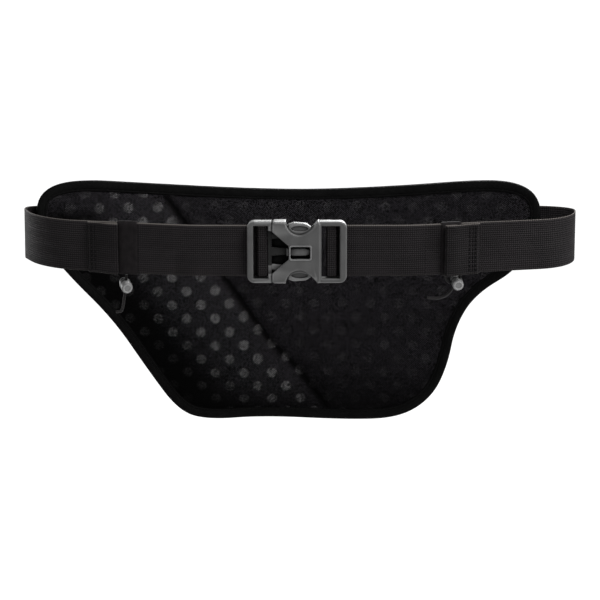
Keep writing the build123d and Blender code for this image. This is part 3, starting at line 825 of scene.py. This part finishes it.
def belt_places(line, side):
    """Centres, height axes and outward axes in the row frame for plan points of one side of the belt."""
    line = np.asarray(line, float)
    steps = np.gradient(line, axis=0)
    steps /= np.linalg.norm(steps, axis=1, keepdims=True)
    out_plan = np.c_[-steps[:, 1], steps[:, 0]]
    x, y = line[:, 0], line[:, 1]
    droop = DROOP * ease((8 - y) / 22)
    loose = ease((x - 50) / 30) * ease((8 - y) / 22)
    y = y - np.array([noise.noise(Vector((a * 0.028, side * 5.1, 0))) for a in x]) * WAVE * loose
    cos_d, sin_d = np.cos(droop), np.sin(droop)
    out = np.c_[side * out_plan[:, 0], out_plan[:, 1] * cos_d, out_plan[:, 1] * sin_d]
    return np.c_[side * x, y * cos_d, y * sin_d], np.c_[0 * x, -sin_d, cos_d], out


RIB = 1.9                  # a rib's width, on the webbing and round the elastic
WEB_SECTION = band_section(WEB_WIDE / 2, 97, lambda a: 0.52 + 0.11 * np.abs(np.cos(math.pi * a / RIB)), 0.7)


def webbing(name, line, side, replaced, body=None):
    return piece(name, sweep(*belt_places(line, side), WEB_SECTION), "webbing", body=body, replaces=replaced)


def belt_spot(x, layer, side):
    """Centre, height axis, outward axis and way out from the buckle, at x on the slanting webbing."""
    spots = np.array([slant_point(x + d, layer) for d in (0.5, 0, -0.5)])
    centres, up, out = belt_places(spots, side)
    return centres[1], up[1], out[1], unit(centres[0] - centres[2])


HEM_LIFT = 3.4
HEM_TUCK = 1.15


def hem_lift(x, side):
    """How far the flap stands off at x, from nothing at its fold to HEM_LIFT near its free end."""
    share = (HEM_FOLD_X[side] - x) / (HEM_FOLD_X[side] - HEM_FREE_X[side])
    return HEM_LIFT * float(ease((share - 0.12) / 0.75))


def hem_line(side):
    """Plan line of the webbing's outer layer from SPLIT_X out to its hem, and back along the lifted flap."""
    gap, fold, free = HEM_GAP[side], HEM_FOLD_X[side], HEM_FREE_X[side]
    out_to = [slant_point(x, LAYER) for x in np.arange(SPLIT_X, fold, 2.5)]
    turn = [slant_point(fold + gap / 2 * math.sin(a), LAYER + gap / 2 * (1 - math.cos(a)))
            for a in np.linspace(0.0, math.pi, 9)]
    back = [slant_point(x, LAYER + gap + hem_lift(x, side)) for x in np.arange(fold - 1.2, free + 0.8, -1.2)]
    top = LAYER + gap + HEM_LIFT
    tuck = [slant_point(free - HEM_TUCK * math.sin(a), top - HEM_TUCK * (1 - math.cos(a)))
            for a in np.linspace(0.2, math.pi, 8)]
    inner = [slant_point(x, top - 2 * HEM_TUCK) for x in np.arange(free + 1.5, free + 9, 1.5)]
    return np.array(out_to + turn + back + tuck + inner)


LOOP_NEAR = {-1: 21.95, 1: 21.9}
LOOP_FRONT = 5.1           # from the inner layer to the webbing on the buckle's bar
LOOP_REACH = 40            # how far from the buckle's middle the webbing round its bar begins
# Stitches: each hem row's x, and the box's corners as (length from the sewn end, height).
HEM_ROWS = {-1: (150.6, 153.2), 1: (123.6, 126.2, 128.2)}
BOX_STITCH = [(3, -15.5), (3, 15.5), (34, 15.5), (34, -15.5), (3, -15.5), (34, 15.5), (34, -15.5), (3, 15.5)]


def lead_line(side):
    """Plan line of the webbing from SPLIT_X in to the buckle's bar, round it, and back on top."""
    centre = side * BUCKLE_X
    near = LOOP_NEAR[side]
    bar = [(near, 0), (near, -LOOP_FRONT), (28.0, -LOOP_FRONT), (30.2, -LAYER)]
    inner_end, outer_end = ((centre + LOOP_REACH, BELT_FRONT_Y - layer) for layer in (0, LAYER))
    inner = rounded([slant_point(SPLIT_X, 0), SLANT_END, inner_end], 80)
    loop = rounded([inner_end, *[(centre + u, BELT_FRONT_Y + w) for u, w in bar], outer_end], 1.2, count=7)
    outer = rounded([outer_end, (SLANT_END[0], BELT_FRONT_Y - LAYER), slant_point(SPLIT_X, LAYER)], 80)
    return np.vstack([resample(inner, 2.6)[:-1], resample(loop, 0.7)[:-1], resample(outer, 2.6)])


for side, word in WORDS.items():
    main = webbing(f"{word}_belt_webbing", resample(rear_line(side), 2.4), side,
                   [f"{word}_rear_strap", f"{word}_side_bend", f"{word}_front_strap"])
    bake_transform(main)
    lead = webbing(f"{word}_buckle_webbing", lead_line(side), side, [f"{word}_slack", f"{word}_loop"])
    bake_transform(lead)
    tail = webbing(f"{word}_webbing_hem", hem_line(side), side, [f"{word}_strap_tail"], body="belt")
    fold_run = (HEM_FOLD_X[side] - SPLIT_X) / math.cos(SLANT)
    # The hem takes a copy of the webbing with painted shade on its flap.
    tail.data.materials[0] = webbing_material(f"{word}_webbing_fold_painted_shade", fold_run)

    # Rows of thread that hold the hem, beside its fold.
    rows = []
    for x in HEM_ROWS[side]:
        centre, up, out, _ = belt_spot(x, LAYER + HEM_GAP[side] + hem_lift(x, side), side)
        normal = -out if out[1] > 0 else out
        line = [centre + up * high + normal * 0.7 for high in np.linspace(-17.2, 17.2, 12)]
        rows.append(stitches(line, normal, 3.1))
    thread(f"{word}_hem_stitches", rows, body="belt")

    # Box of stitches that holds the webbing on the wing, on the hidden side.
    wing = resample(rear_line(side), 1.0)
    wing_run = run_along(wing)
    spots, ups, outs = belt_places(wing, side)
    rows = []
    for (run_a, high_a), (run_b, high_b) in zip(BOX_STITCH, BOX_STITCH[1:]):
        shares = np.linspace(0, 1, 14)[:, None]
        at = np.searchsorted(wing_run, run_a + (run_b - run_a) * shares[:, 0])
        line = spots[at] + ups[at] * (high_a + (high_b - high_a) * shares) + outs[at] * 0.72
        rows.append(stitches(line, outs[at], 3.4))
    thread(f"{word}_wing_stitches", rows)

    # Elastic keeper round both layers.
    near, far = KEEPER_X[side]
    centre, up, out, forward = belt_spot((near + far) / 2, LAYER / 2, side)
    outline = rounded_box(2.1, -19.75, 19.75, 1.4, 7, 0.9)
    outward = turned(closed_ways(outline))
    ring, normals = (flat[:, :1] * out + flat[:, 1:] * up for flat in (outline, outward))
    section = band_section((far - near) / 2 / math.cos(SLANT), 25,
                           lambda a: 0.43 + 0.06 * np.cos(a * 2 * math.pi / RIB), 0.5)
    piece(f"{word}_elastic_keeper", sweep(centre + ring, forward, normals, section, closed=True), "elastic",
          body=f"{word}_keeper", replaces=[f"{word}_keeper"])

# ---------------------------------------------------------------- back panel
PANEL_EDGE = [
    (-203, 15), (-197, 32), (-173, 38.5), (-120, 34.5), (-50, 30), (10, 28.6), (78, 32), (140, 37.8),
    (166, 36.8), (182, 28), (185.5, 8), (170, -28), (136, -49.5), (120.5, -76), (115, -107),
    (103, -133), (78, -149.8), (35, -151.8), (-30, -148.8), (-72, -151.6), (-95, -144.5), (-118, -112),
    (-145, -70), (-179, -34), (-198, -8),
]
CREASE = np.array([(-104, 24), (-80, -8), (-58, -40), (-42, -63), (-23, -90), (-2, -111), (21, -141)])
outline = resample(soft_outline(PANEL_EDGE), 3.4, closed=True)
crease = resample(CREASE, 3.0)


def panel_y(x):
    """Depth of the panel's front at x."""
    return PANEL_MID_Y - PANEL_CURVE + np.sqrt(PANEL_CURVE**2 - (np.asarray(x) - PANEL_MID_X) ** 2)


def left_of_crease(flat):
    """Distance from the crease, positive on the bottle's side."""
    line_x = np.interp(flat[:, 1], CREASE[::-1, 1], CREASE[::-1, 0])
    return np.where(flat[:, 0] < line_x, 1.0, -1.0) * distance_to_line(flat, CREASE)


def panel_shape(flat):
    """How far the padded front stands out of its curve at (x, z), in millimetres."""
    beyond = left_of_crease(flat)
    edge = distance_to_line(flat, outline, closed=True) * inside(flat, outline)
    rise = ease(beyond / 14 + 0.08) * ease((118 - beyond) / 92)
    other = np.where(beyond < 0, 1.2 * ease(-beyond / 40), 0)
    padding = ease((edge - 7) / 22) * (11.5 * rise + other)
    fold = 3.4 * (1 - ease(np.abs(beyond) / 4.5)) * ease((edge - 5) / 8)
    groove = 0.9 * ease((edge - 5.5) / 1.5) * ease((11 - edge) / 3)
    return padding - fold - groove


flat, faces, rim = filled(outline, 3.7, crease)
edge_gap = distance_to_line(flat, outline, closed=True)
panel_depth = panel_y(flat[:, 0])
front = raised(flat, panel_depth - panel_shape(flat))
back = raised(flat, panel_depth + PANEL - 1.0)
pad = piece("back_pad", closed_slab(front, back, faces, rim), "spacer_mesh",
            replaces=["back_mesh", "back_foam"])
held = np.concatenate([(edge_gap < 7.2) | (distance_to_line(flat, crease) < 1.6), np.ones(len(flat), bool)])
inflate(pad, held, 5.0, 3.0)
refine(pad)
points = mesh_points(pad.data)
flat_now = points[:, [0, 2]]
facing = ease((panel_y(points[:, 0]) + 4.0 - points[:, 1]) / 3)
cell = np.array(DOT_CELL)
dot_gap = np.min([np.hypot(*((flat_now - DOT_AT - half * cell + cell / 2) % cell - cell / 2).T)
                  for half in (0, 0.5)], axis=0)
facing *= ease((distance_to_line(flat_now, outline, closed=True) - 7) / 5)
points[:, 1] += facing * 0.55 * ease((DOT_R + 1.2 - dot_gap) / 2)
points[:, 1] += facing * 0.35 * ripple(points, 14, 1)
move_points(pad, points)

# Where the dots show and how pale the knit is, with painted light and shade: most beside the crease on the
# bottle's side, as painted light on the padding's crest, falling off away from it, and darker towards the
# bottom and in the crease itself as painted shade.
beyond, height = left_of_crease(flat_now), points[:, 2]
# Painted light, brightest on the padding's crest just beside the crease.
lit_ridge = 0.35 + 0.65 * ease(beyond / 14)
dots_with_painted_light = np.where(beyond > 0, lit_ridge * (1.0 - 0.93 * ease((beyond - 22) / 52)), 0.10)
dots_with_painted_light = np.maximum(dots_with_painted_light, 0.20 * ease((height - 8) / 14)) * (0.8 + 0.35 * ripple(points, 30, 9))
# Painted shade towards the bottom.
shaded_foot = 0.2 + 0.8 * ease((height + 146) / 56)
dots_with_painted_light *= shaded_foot * (1 - 0.3 * ease((height + 2) / 16))
knit_with_painted_light = np.where(beyond > 0, 0.03 + 0.95 * ease(beyond / 6) * (1 - ease((beyond - 26) / 44)), 0.62)
knit_with_painted_light = np.maximum(knit_with_painted_light, 0.6 * ease((height - 6) / 16)) * shaded_foot
# Painted shade in the crease.
knit_with_painted_light *= 0.08 + 0.92 * ease((np.abs(beyond) - 0.6) / 2.4)
for key, values in (("dots_with_painted_light", dots_with_painted_light), ("knit_with_painted_light", knit_with_painted_light)):
    pad.data.attributes.new(key, "FLOAT", "POINT").data.foreach_set("value", values.astype(np.float32))
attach(pad, "pack")

lining_front = raised(flat, panel_depth + PANEL - 0.95)
lining_back = lining_front + np.array([0, 0.9, 0])
lining_back[:, 1] += 0.25 * ripple(lining_back, 22, 2) * ease((edge_gap - 6) / 8)
lining = closed_slab(lining_front, lining_back, faces, rim)
piece("pack_lining", lining, "lining", body="pack", replaces=["back_lining"])

# Binding rolled over the panel's edge, as (distance in, depth), with its stitch groove.
BINDING_SECTION = np.array([
    (7.1, -0.05), (6.8, -0.6), (6.3, -0.95), (5.8, -0.95), (5.4, -0.55), (5.0, -0.95), (4.2, -1.35),
    (3.0, -1.5), (1.7, -1.4), (0.6, -1.05), (-0.4, -0.3), (-0.85, 0.9), (-0.95, 2.8), (-0.95, 4.6),
    (-0.95, 6.4), (-0.85, 8.2), (-0.4, 9.3), (0.6, 9.85), (1.9, 10.1), (3.2, 10.15), (4.6, 9.95),
    (5.4, 9.6), (6.0, 9.8), (6.7, 9.6), (7.0, 9.1), (5.6, 8.6), (1.6, 8.4), (0.9, 6.5), (0.9, 2.5),
    (1.6, 0.7), (5.6, 0.5)])
SEAM_IN = 5.4
fine = resample(outline, 1.7, closed=True)
ways = closed_ways(fine)
for _ in range(2):
    ways = unit(ways + np.roll(ways, 1, 0) + np.roll(ways, -1, 0))
inward = turned(ways)
around = np.vstack([fine, fine[:1]])
pucker = 0.5 + 0.5 * np.cos(run_along(around)[1:] * 2 * math.pi / STITCH_STEP)
points = []
for place, way, tug in zip(fine, inward, pucker):
    for deep, out in BINDING_SECTION:
        spot = place + way * deep
        puff = 1 + 0.1 * noise.noise(Vector((spot[0] * 0.12, spot[1] * 0.12, 3.0)))
        out = out * puff - (0.16 * tug if 4.9 < deep < 7.3 and out < 0 else 0.0)
        points.append((spot[0], float(panel_y(spot[0])) + out, spot[1]))
binding = (points, tube_faces(len(fine), len(BINDING_SECTION), closed=True))
piece("rolled_binding", binding, "binding", body="pack", replaces=["edge_binding"])
seam = around + np.vstack([inward, inward[:1]]) * SEAM_IN
rows = [stitches(raised(seam, panel_y(seam[:, 0]) + depth), (0, sign, 0))
        for sign, depth in ((-1, -0.62), (1, PANEL + 0.68))]
thread("binding_stitches", rows)

# ---------------------------------------------------------------- main pocket
POCKET_EDGE = np.array([(-98, 18), (102, 18), (104, -70), (96, -120), (70, -141), (16.5, -141)])
POCKET_BACK_Y = 113.0
POCKET_FILLET = 22.0
POCKET_CORNER = 13.6
POCKET_INSET = 0.4         # leaves room inside the CAD solid
CORNER_POINTS = 7
WALL_END = POCKET_BACK_Y - POCKET_FILLET
PANEL_GAP = PANEL + 0.1


def pocket_outline(amount, per_side=26):
    """The pocket's rounded outline moved in by an amount, with the same number of points at any amount."""
    ins = turned(unit(np.roll(POCKET_EDGE, -1, 0) - POCKET_EDGE))
    before = np.roll(ins, 1, 0)
    way = (before + ins) / (1 + np.sum(before * ins, axis=1, keepdims=True))
    moved = POCKET_EDGE + (POCKET_INSET + amount) * way
    bends = rounded(moved, max(POCKET_CORNER - amount, 5.0), closed=True, count=CORNER_POINTS)
    bends = bends.reshape(-1, CORNER_POINTS, 2)
    made = []
    for bend, after in zip(bends, np.roll(bends, -1, 0)):
        made.extend(bend)
        made += [bend[-1] * (1 - t) + after[0] * t for t in np.linspace(0, 1, per_side + 2)[1:-1]]
    return np.array(made)


foot_ring = pocket_outline(0)
foot_y = panel_y(foot_ring[:, 0]) + PANEL_GAP
rings = [raised(foot_ring, foot_y + (WALL_END - foot_y) * share) for share in (0.0, 0.25, 0.5, 0.75, 1.0)]
for turn in np.radians((15, 30, 45, 60, 75, 90)):
    ring = pocket_outline(POCKET_FILLET * (1 - math.cos(turn)))
    rings.append(raised(ring, WALL_END + (POCKET_FILLET - 0.3) * math.sin(turn)))
count = len(foot_ring)
last = (len(rings) - 1) * count
cap, cap_faces, _ = filled(rings[-1][:, [0, 2]], 4.4)
base, base_faces, _ = filled(foot_ring, 7.0)
base_start = last + len(cap)
points = np.vstack([*rings, raised(cap[count:], POCKET_BACK_Y - 0.3),
                    raised(base[count:], panel_y(base[count:, 0]) + PANEL_GAP)])
faces = tube_faces(len(rings), count)[:-2] + [[last + i for i in f] for f in cap_faces]
faces += [[i if i < count else base_start + i - count for i in reversed(f)] for f in base_faces]
pocket = piece("main_pocket_shell", (points, faces), "shell_fabric", replaces=["main_pocket"])
ZIP_MID = (14.0, -14.0)
ZIP_AREA = (76, 14)        # half the area kept flat for it, wide and tall


def near_zip(points, margin):
    """Share from 1 at the zip to 0 a margin away from its tape."""
    gap = np.max(np.abs(points[:, [0, 2]] - ZIP_MID) - ZIP_AREA, axis=1)
    return 1 - ease(gap / margin)


points = mesh_points(pocket.data)
by_panel = points[:, 1] < panel_y(points[:, 0]) + PANEL_GAP + 4
slope_side = distance_to_line(points[:, [0, 2]], [(16.5, -141), (-98, 18)]) < 9
behind_stretch = inside(points[:, [0, 2]], [(-44, -30), (92, -30), (92, -126), (8, -126)])
held = by_panel | slope_side | (near_zip(points, 3) > 0.5) | behind_stretch & (points[:, 1] > 108)
inflate(pocket, held, 7.0, 6.0)
refine(pocket)
points = mesh_points(pocket.data)
calm = ease((points[:, 1] - panel_y(points[:, 0]) - PANEL_GAP - 3) / 12) * (1 - near_zip(points, 9))
away = unit(points - np.array([15.0, 78.0, -60.0]))
crinkle = 1.3 * ripple(points, 26, 4) + 0.6 * ripple(points, 10, 5)
points += away * ((crinkle - 0.35) * calm)[:, None]
points[:, 1] = np.minimum(points[:, 1], POCKET_BACK_Y + 4.5)
move_points(pocket, points)
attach(pocket, "pack")

# Piping round the pocket's fillet, with the axes that the sweeps from here on share.
OUT_Y, UP_Z = (0.0, 1.0, 0.0), (0.0, 0.0, 1.0)
turn = math.radians(38)
line = pocket_outline(POCKET_FILLET * (1 - math.cos(turn)) - 1.0, per_side=40)
centres = raised(line, WALL_END + POCKET_FILLET * math.sin(turn) + 0.4)
centres = snapped(resample(centres, 2.2, closed=True), pocket, 0.5)
for _ in range(3):
    centres = (np.roll(centres, 1, 0) + 2 * centres + np.roll(centres, -1, 0)) / 4
piping = sweep(centres, np.cross(closed_ways(centres), OUT_Y), OUT_Y, round_section(1.25), closed=True)
piece("pocket_piping", piping[:2], "binding", body="pack")

# ---------------------------------------------------------------- zip
TAPE_HALF_X = 75.0
tape = band_section(5.7, 15, lambda a: 0.42 + np.where(np.abs(a) < 5.2, 0.05 * np.cos(a * 2.6), 0), 0.4)
tapes, rows = [], []
for sign in (1, -1):
    tape_line = np.array([(ZIP_MID[0] + x, POCKET_BACK_Y + 0.45, ZIP_MID[1] - sign * 7.3)
                          for x in np.arange(-TAPE_HALF_X, TAPE_HALF_X + 0.1, 2.0)])
    tapes.append(sweep(tape_line, UP_Z, OUT_Y, tape)[:2])
    line = [(x, POCKET_BACK_Y + 0.98, ZIP_MID[1] + sign * 11) for x in np.linspace(-58, 86, 30)]
    rows.append(stitches(line, OUT_Y))
piece("zip_tapes", merged(tapes), "zip_tape", body="pack", replaces=["zip_tape"])
thread("zip_stitches", rows)

# ---------------------------------------------------------------- stretch pocket
STRETCH_EDGE = [(-40, -34), (88, -34), (88, -100), (74, -122), (25, -122), (12, -106)]
STRETCH_DEEP = 17.0
stretch_line = rounded(STRETCH_EDGE, 9, closed=True, count=8)
stretch_line[:, 1] = np.minimum(stretch_line[:, 1], -42)
keep = np.concatenate([[True], np.linalg.norm(np.diff(stretch_line, axis=0), axis=1) > 0.4])
stretch_line = resample(stretch_line[keep], 2.6, closed=True)
open_sides = [(-40, -20), (-40, -34), (12, -106), (25, -122), (74, -122), (88, -100), (88, -20)]


def pocket_face(flat):
    """Depth of the main pocket's face at each (x, z)."""
    tree = surface(pocket)
    found = []
    for x, z in flat:
        place = tree.ray_cast(Vector((x, 200, z)) * MM, Vector((0, -1, 0)))[0]
        found.append(POCKET_BACK_Y if place is None else max(place[1] / MM, POCKET_BACK_Y - POCKET_FILLET))
    return np.array(found)


def stretch_y(flat):
    """Depth of the stretch pocket's outside at (x, z)."""
    gap = distance_to_line(flat, open_sides)
    round_off = np.sqrt(np.clip(1 - (1 - np.clip(gap, 0, 11) / 11) ** 2, 0, 1))
    top = ease((flat[:, 1] + 70) / 30)
    slack = 1.0 + 0.9 * np.sin(flat[:, 0] * 0.33 + 1.0) * top
    slack += 0.6 * ripple(np.c_[flat, flat[:, 0] * 0], 13, 6)
    base = pocket_face(flat) * (1 - round_off) + POCKET_BACK_Y * round_off
    return base + 0.15 + (STRETCH_DEEP - 2.2) * round_off + slack * round_off * 0.8


flat, faces, rim = filled(stretch_line, 2.8)
outer = raised(flat, stretch_y(flat))
inner = outer - np.array([0, 1.1, 0])
inner[:, 1] = np.maximum(inner[:, 1], pocket_face(flat) - 0.6)
bag = piece("stretch_pocket_knit", closed_slab(outer, inner, faces, rim), "stretch_fabric",
            replaces=["stretch_pocket"])
refine(bag)
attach(bag, "pack")
turn = np.linspace(0.06, math.pi / 2, 9)
left_end = -35 + 13.6 * (1 - np.cos(turn))
right_end = 88 - 11 * (1 - np.cos(turn))
middle = np.arange(left_end[-1] + 1.5, right_end[-1] - 0.7, 1.5)
along_top = np.concatenate([left_end, middle, right_end[::-1]])
top = np.c_[along_top, np.full(len(along_top), -41.0)]
centres = raised(top, stretch_y(top) - 0.5)
outs = np.cross(UP_Z, unit(np.gradient(centres, axis=0)))
band = rounded_box(5.5, -1.2, 1.2, 1.0, 5, 0.8)
section = np.broadcast_to(band, (len(top), *band.shape)).copy()
section[..., 1] += 0.28 * np.sin(np.arange(len(top)) * 1.5 * 1.9)[:, None] * (np.abs(band[:, 0]) < 5)
piece("stretch_pocket_binding", sweep(centres, UP_Z, outs, section), "elastic", body="pack",
      replaces=["stretch_binding"])

# ---------------------------------------------------------------- bottle sleeve
SLEEVE_R = 39.5
BOTTLE_R = 37.5
SLEEVE_LONG = 142.0
slope = math.radians(53.7)
sleeve_foot = np.array((-52.0, 96.5, -118.5))
axis = unit((-math.cos(slope), -0.08, math.sin(slope)))
side_way = unit(np.cross(axis, OUT_Y))
deep_way = np.cross(side_way, axis)
TURN_COUNT = 96
turns = np.linspace(0, 2 * math.pi, TURN_COUNT, endpoint=False)
circle = np.cos(turns)[:, None] * side_way + np.sin(turns)[:, None] * deep_way


def lathe(profile, wobble, closed=False):
    """The shape of rings of (radius, place along the axis) pairs round the sleeve's axis."""
    points, strip = [], []
    for number, (radius, along) in enumerate(profile):
        ring = sleeve_foot + axis * along + circle * radius
        points.append(ring + circle * wobble(ring, number, radius)[:, None])
        strip.append(np.c_[np.full(TURN_COUNT, along), np.abs(turns - math.pi) * SLEEVE_R])
    return np.vstack(points), tube_faces(len(profile), TURN_COUNT, closed), np.vstack(strip)


outside = [(1.0, 0.0), (16.0, 0.0), (31.5, 0.0)]
outside += [(31.5 + 8 * math.sin(a), 8 - 8 * math.cos(a)) for a in np.radians((20, 40, 60, 80))]
outside += [(SLEEVE_R, along) for along in np.arange(8.5, SLEEVE_LONG, 3.2)] + [(SLEEVE_R, SLEEVE_LONG)]
outer_count = len(outside)
within = [(BOTTLE_R + 0.2, SLEEVE_LONG)]
within += [(BOTTLE_R + 0.2, along) for along in np.arange(SLEEVE_LONG - 8, 4, -8.0)]
within += [(BOTTLE_R - 2, 3.4), (18.0, 3.3), (1.0, 3.3)]


def sleeve_wobble(ring, number, radius):
    if number >= outer_count or radius < SLEEVE_R - 0.1:
        return np.zeros(TURN_COUNT)
    ends = float(ease((number - 7) / 6) * ease((outer_count - 1 - number) / 4))
    folds = np.maximum(0, 0.9 * ripple(ring, 26, 7) + 0.5 * ripple(ring * np.array([1, 1, 2.2]), 11, 8))
    return 0.9 * ends * folds - 0.25 * ends


piece("bottle_sleeve_shell", lathe(outside + within, sleeve_wobble), "sleeve_fabric", body="pack",
      replaces=["bottle_sleeve"])

# Its hem as (radius past SLEEVE_R, place past the sleeve's end). HEM_INSIDE lies against the bottle.
HEM_INSIDE = BOTTLE_R + 0.3 - SLEEVE_R
hem = [(HEM_INSIDE, 0.1), (0.1, 0.1), (0.55, 1.2), *((0.5, a) for a in (2.4, 3.6, 5.2, 6.8, 8.4, 10.0, 11.2)),
       (0.35, 12.6), (-0.3, 13.7), (-1.0, 13.9), (HEM_INSIDE, 13.2), (HEM_INSIDE - 0.1, 7.0)]
hem = [(SLEEVE_R + past, SLEEVE_LONG + along) for past, along in hem]


def hem_wobble(ring, number, radius):
    if radius < SLEEVE_R:
        return np.zeros(TURN_COUNT)
    return 0.22 * np.sin(turns * 32) * (1.0 if 3 <= number <= 9 else 0.3)


piece("sleeve_hem_band", lathe(hem, hem_wobble, closed=True)[:2], "binding", body="pack",
      replaces=["sleeve_hem"])
rounds = np.vstack([circle, circle[:1]])
rows = [stitches(sleeve_foot + axis * (SLEEVE_LONG + along) + rounds * (SLEEVE_R + 0.85), rounds)
        for along in (2.6, 11.6)]
thread("sleeve_hem_stitches", rows)

foot_ring = sleeve_foot + axis * 6.6 + circle * (SLEEVE_R + 0.1)
foot_piping = sweep(foot_ring, circle, axis, round_section(1.1), closed=True)
piece("sleeve_foot_piping", foot_piping[:2], "binding", body="pack")
TAPE_CROWN = 0.0125        # how far the seam tape bends back, times the square of the distance across it
lane = math.radians(60)
out_way = math.cos(lane) * side_way + math.sin(lane) * deep_way
across_way = np.cross(out_way, axis)
centres = sleeve_foot + axis * np.arange(8.0, SLEEVE_LONG - 0.5, 3.0)[:, None] + out_way * (SLEEVE_R + 0.15)
section = rounded_box(4.5, -0.9, 0.8, 0.7, 4, 0.9)
section[:, 1] -= TAPE_CROWN * section[:, 0] ** 2
piece("sleeve_seam_tape", sweep(centres, across_way, out_way, section)[:2], "binding", body="pack")
rows = []
for shift in (-3.3, 3.3):
    line = sleeve_foot + axis * np.arange(10.0, SLEEVE_LONG - 2, 3.0)[:, None] + across_way * shift
    rows.append(stitches(line + out_way * (SLEEVE_R + 0.95 - TAPE_CROWN * shift**2), out_way))
thread("sleeve_seam_stitches", rows)

# ---------------------------------------------------------------- floor
bpy.ops.mesh.primitive_plane_add(size=14, location=(0, 1, -0.9))
floor = bpy.context.object
floor.name = "floor"
floor.data.materials.append(floor_material("floor"))
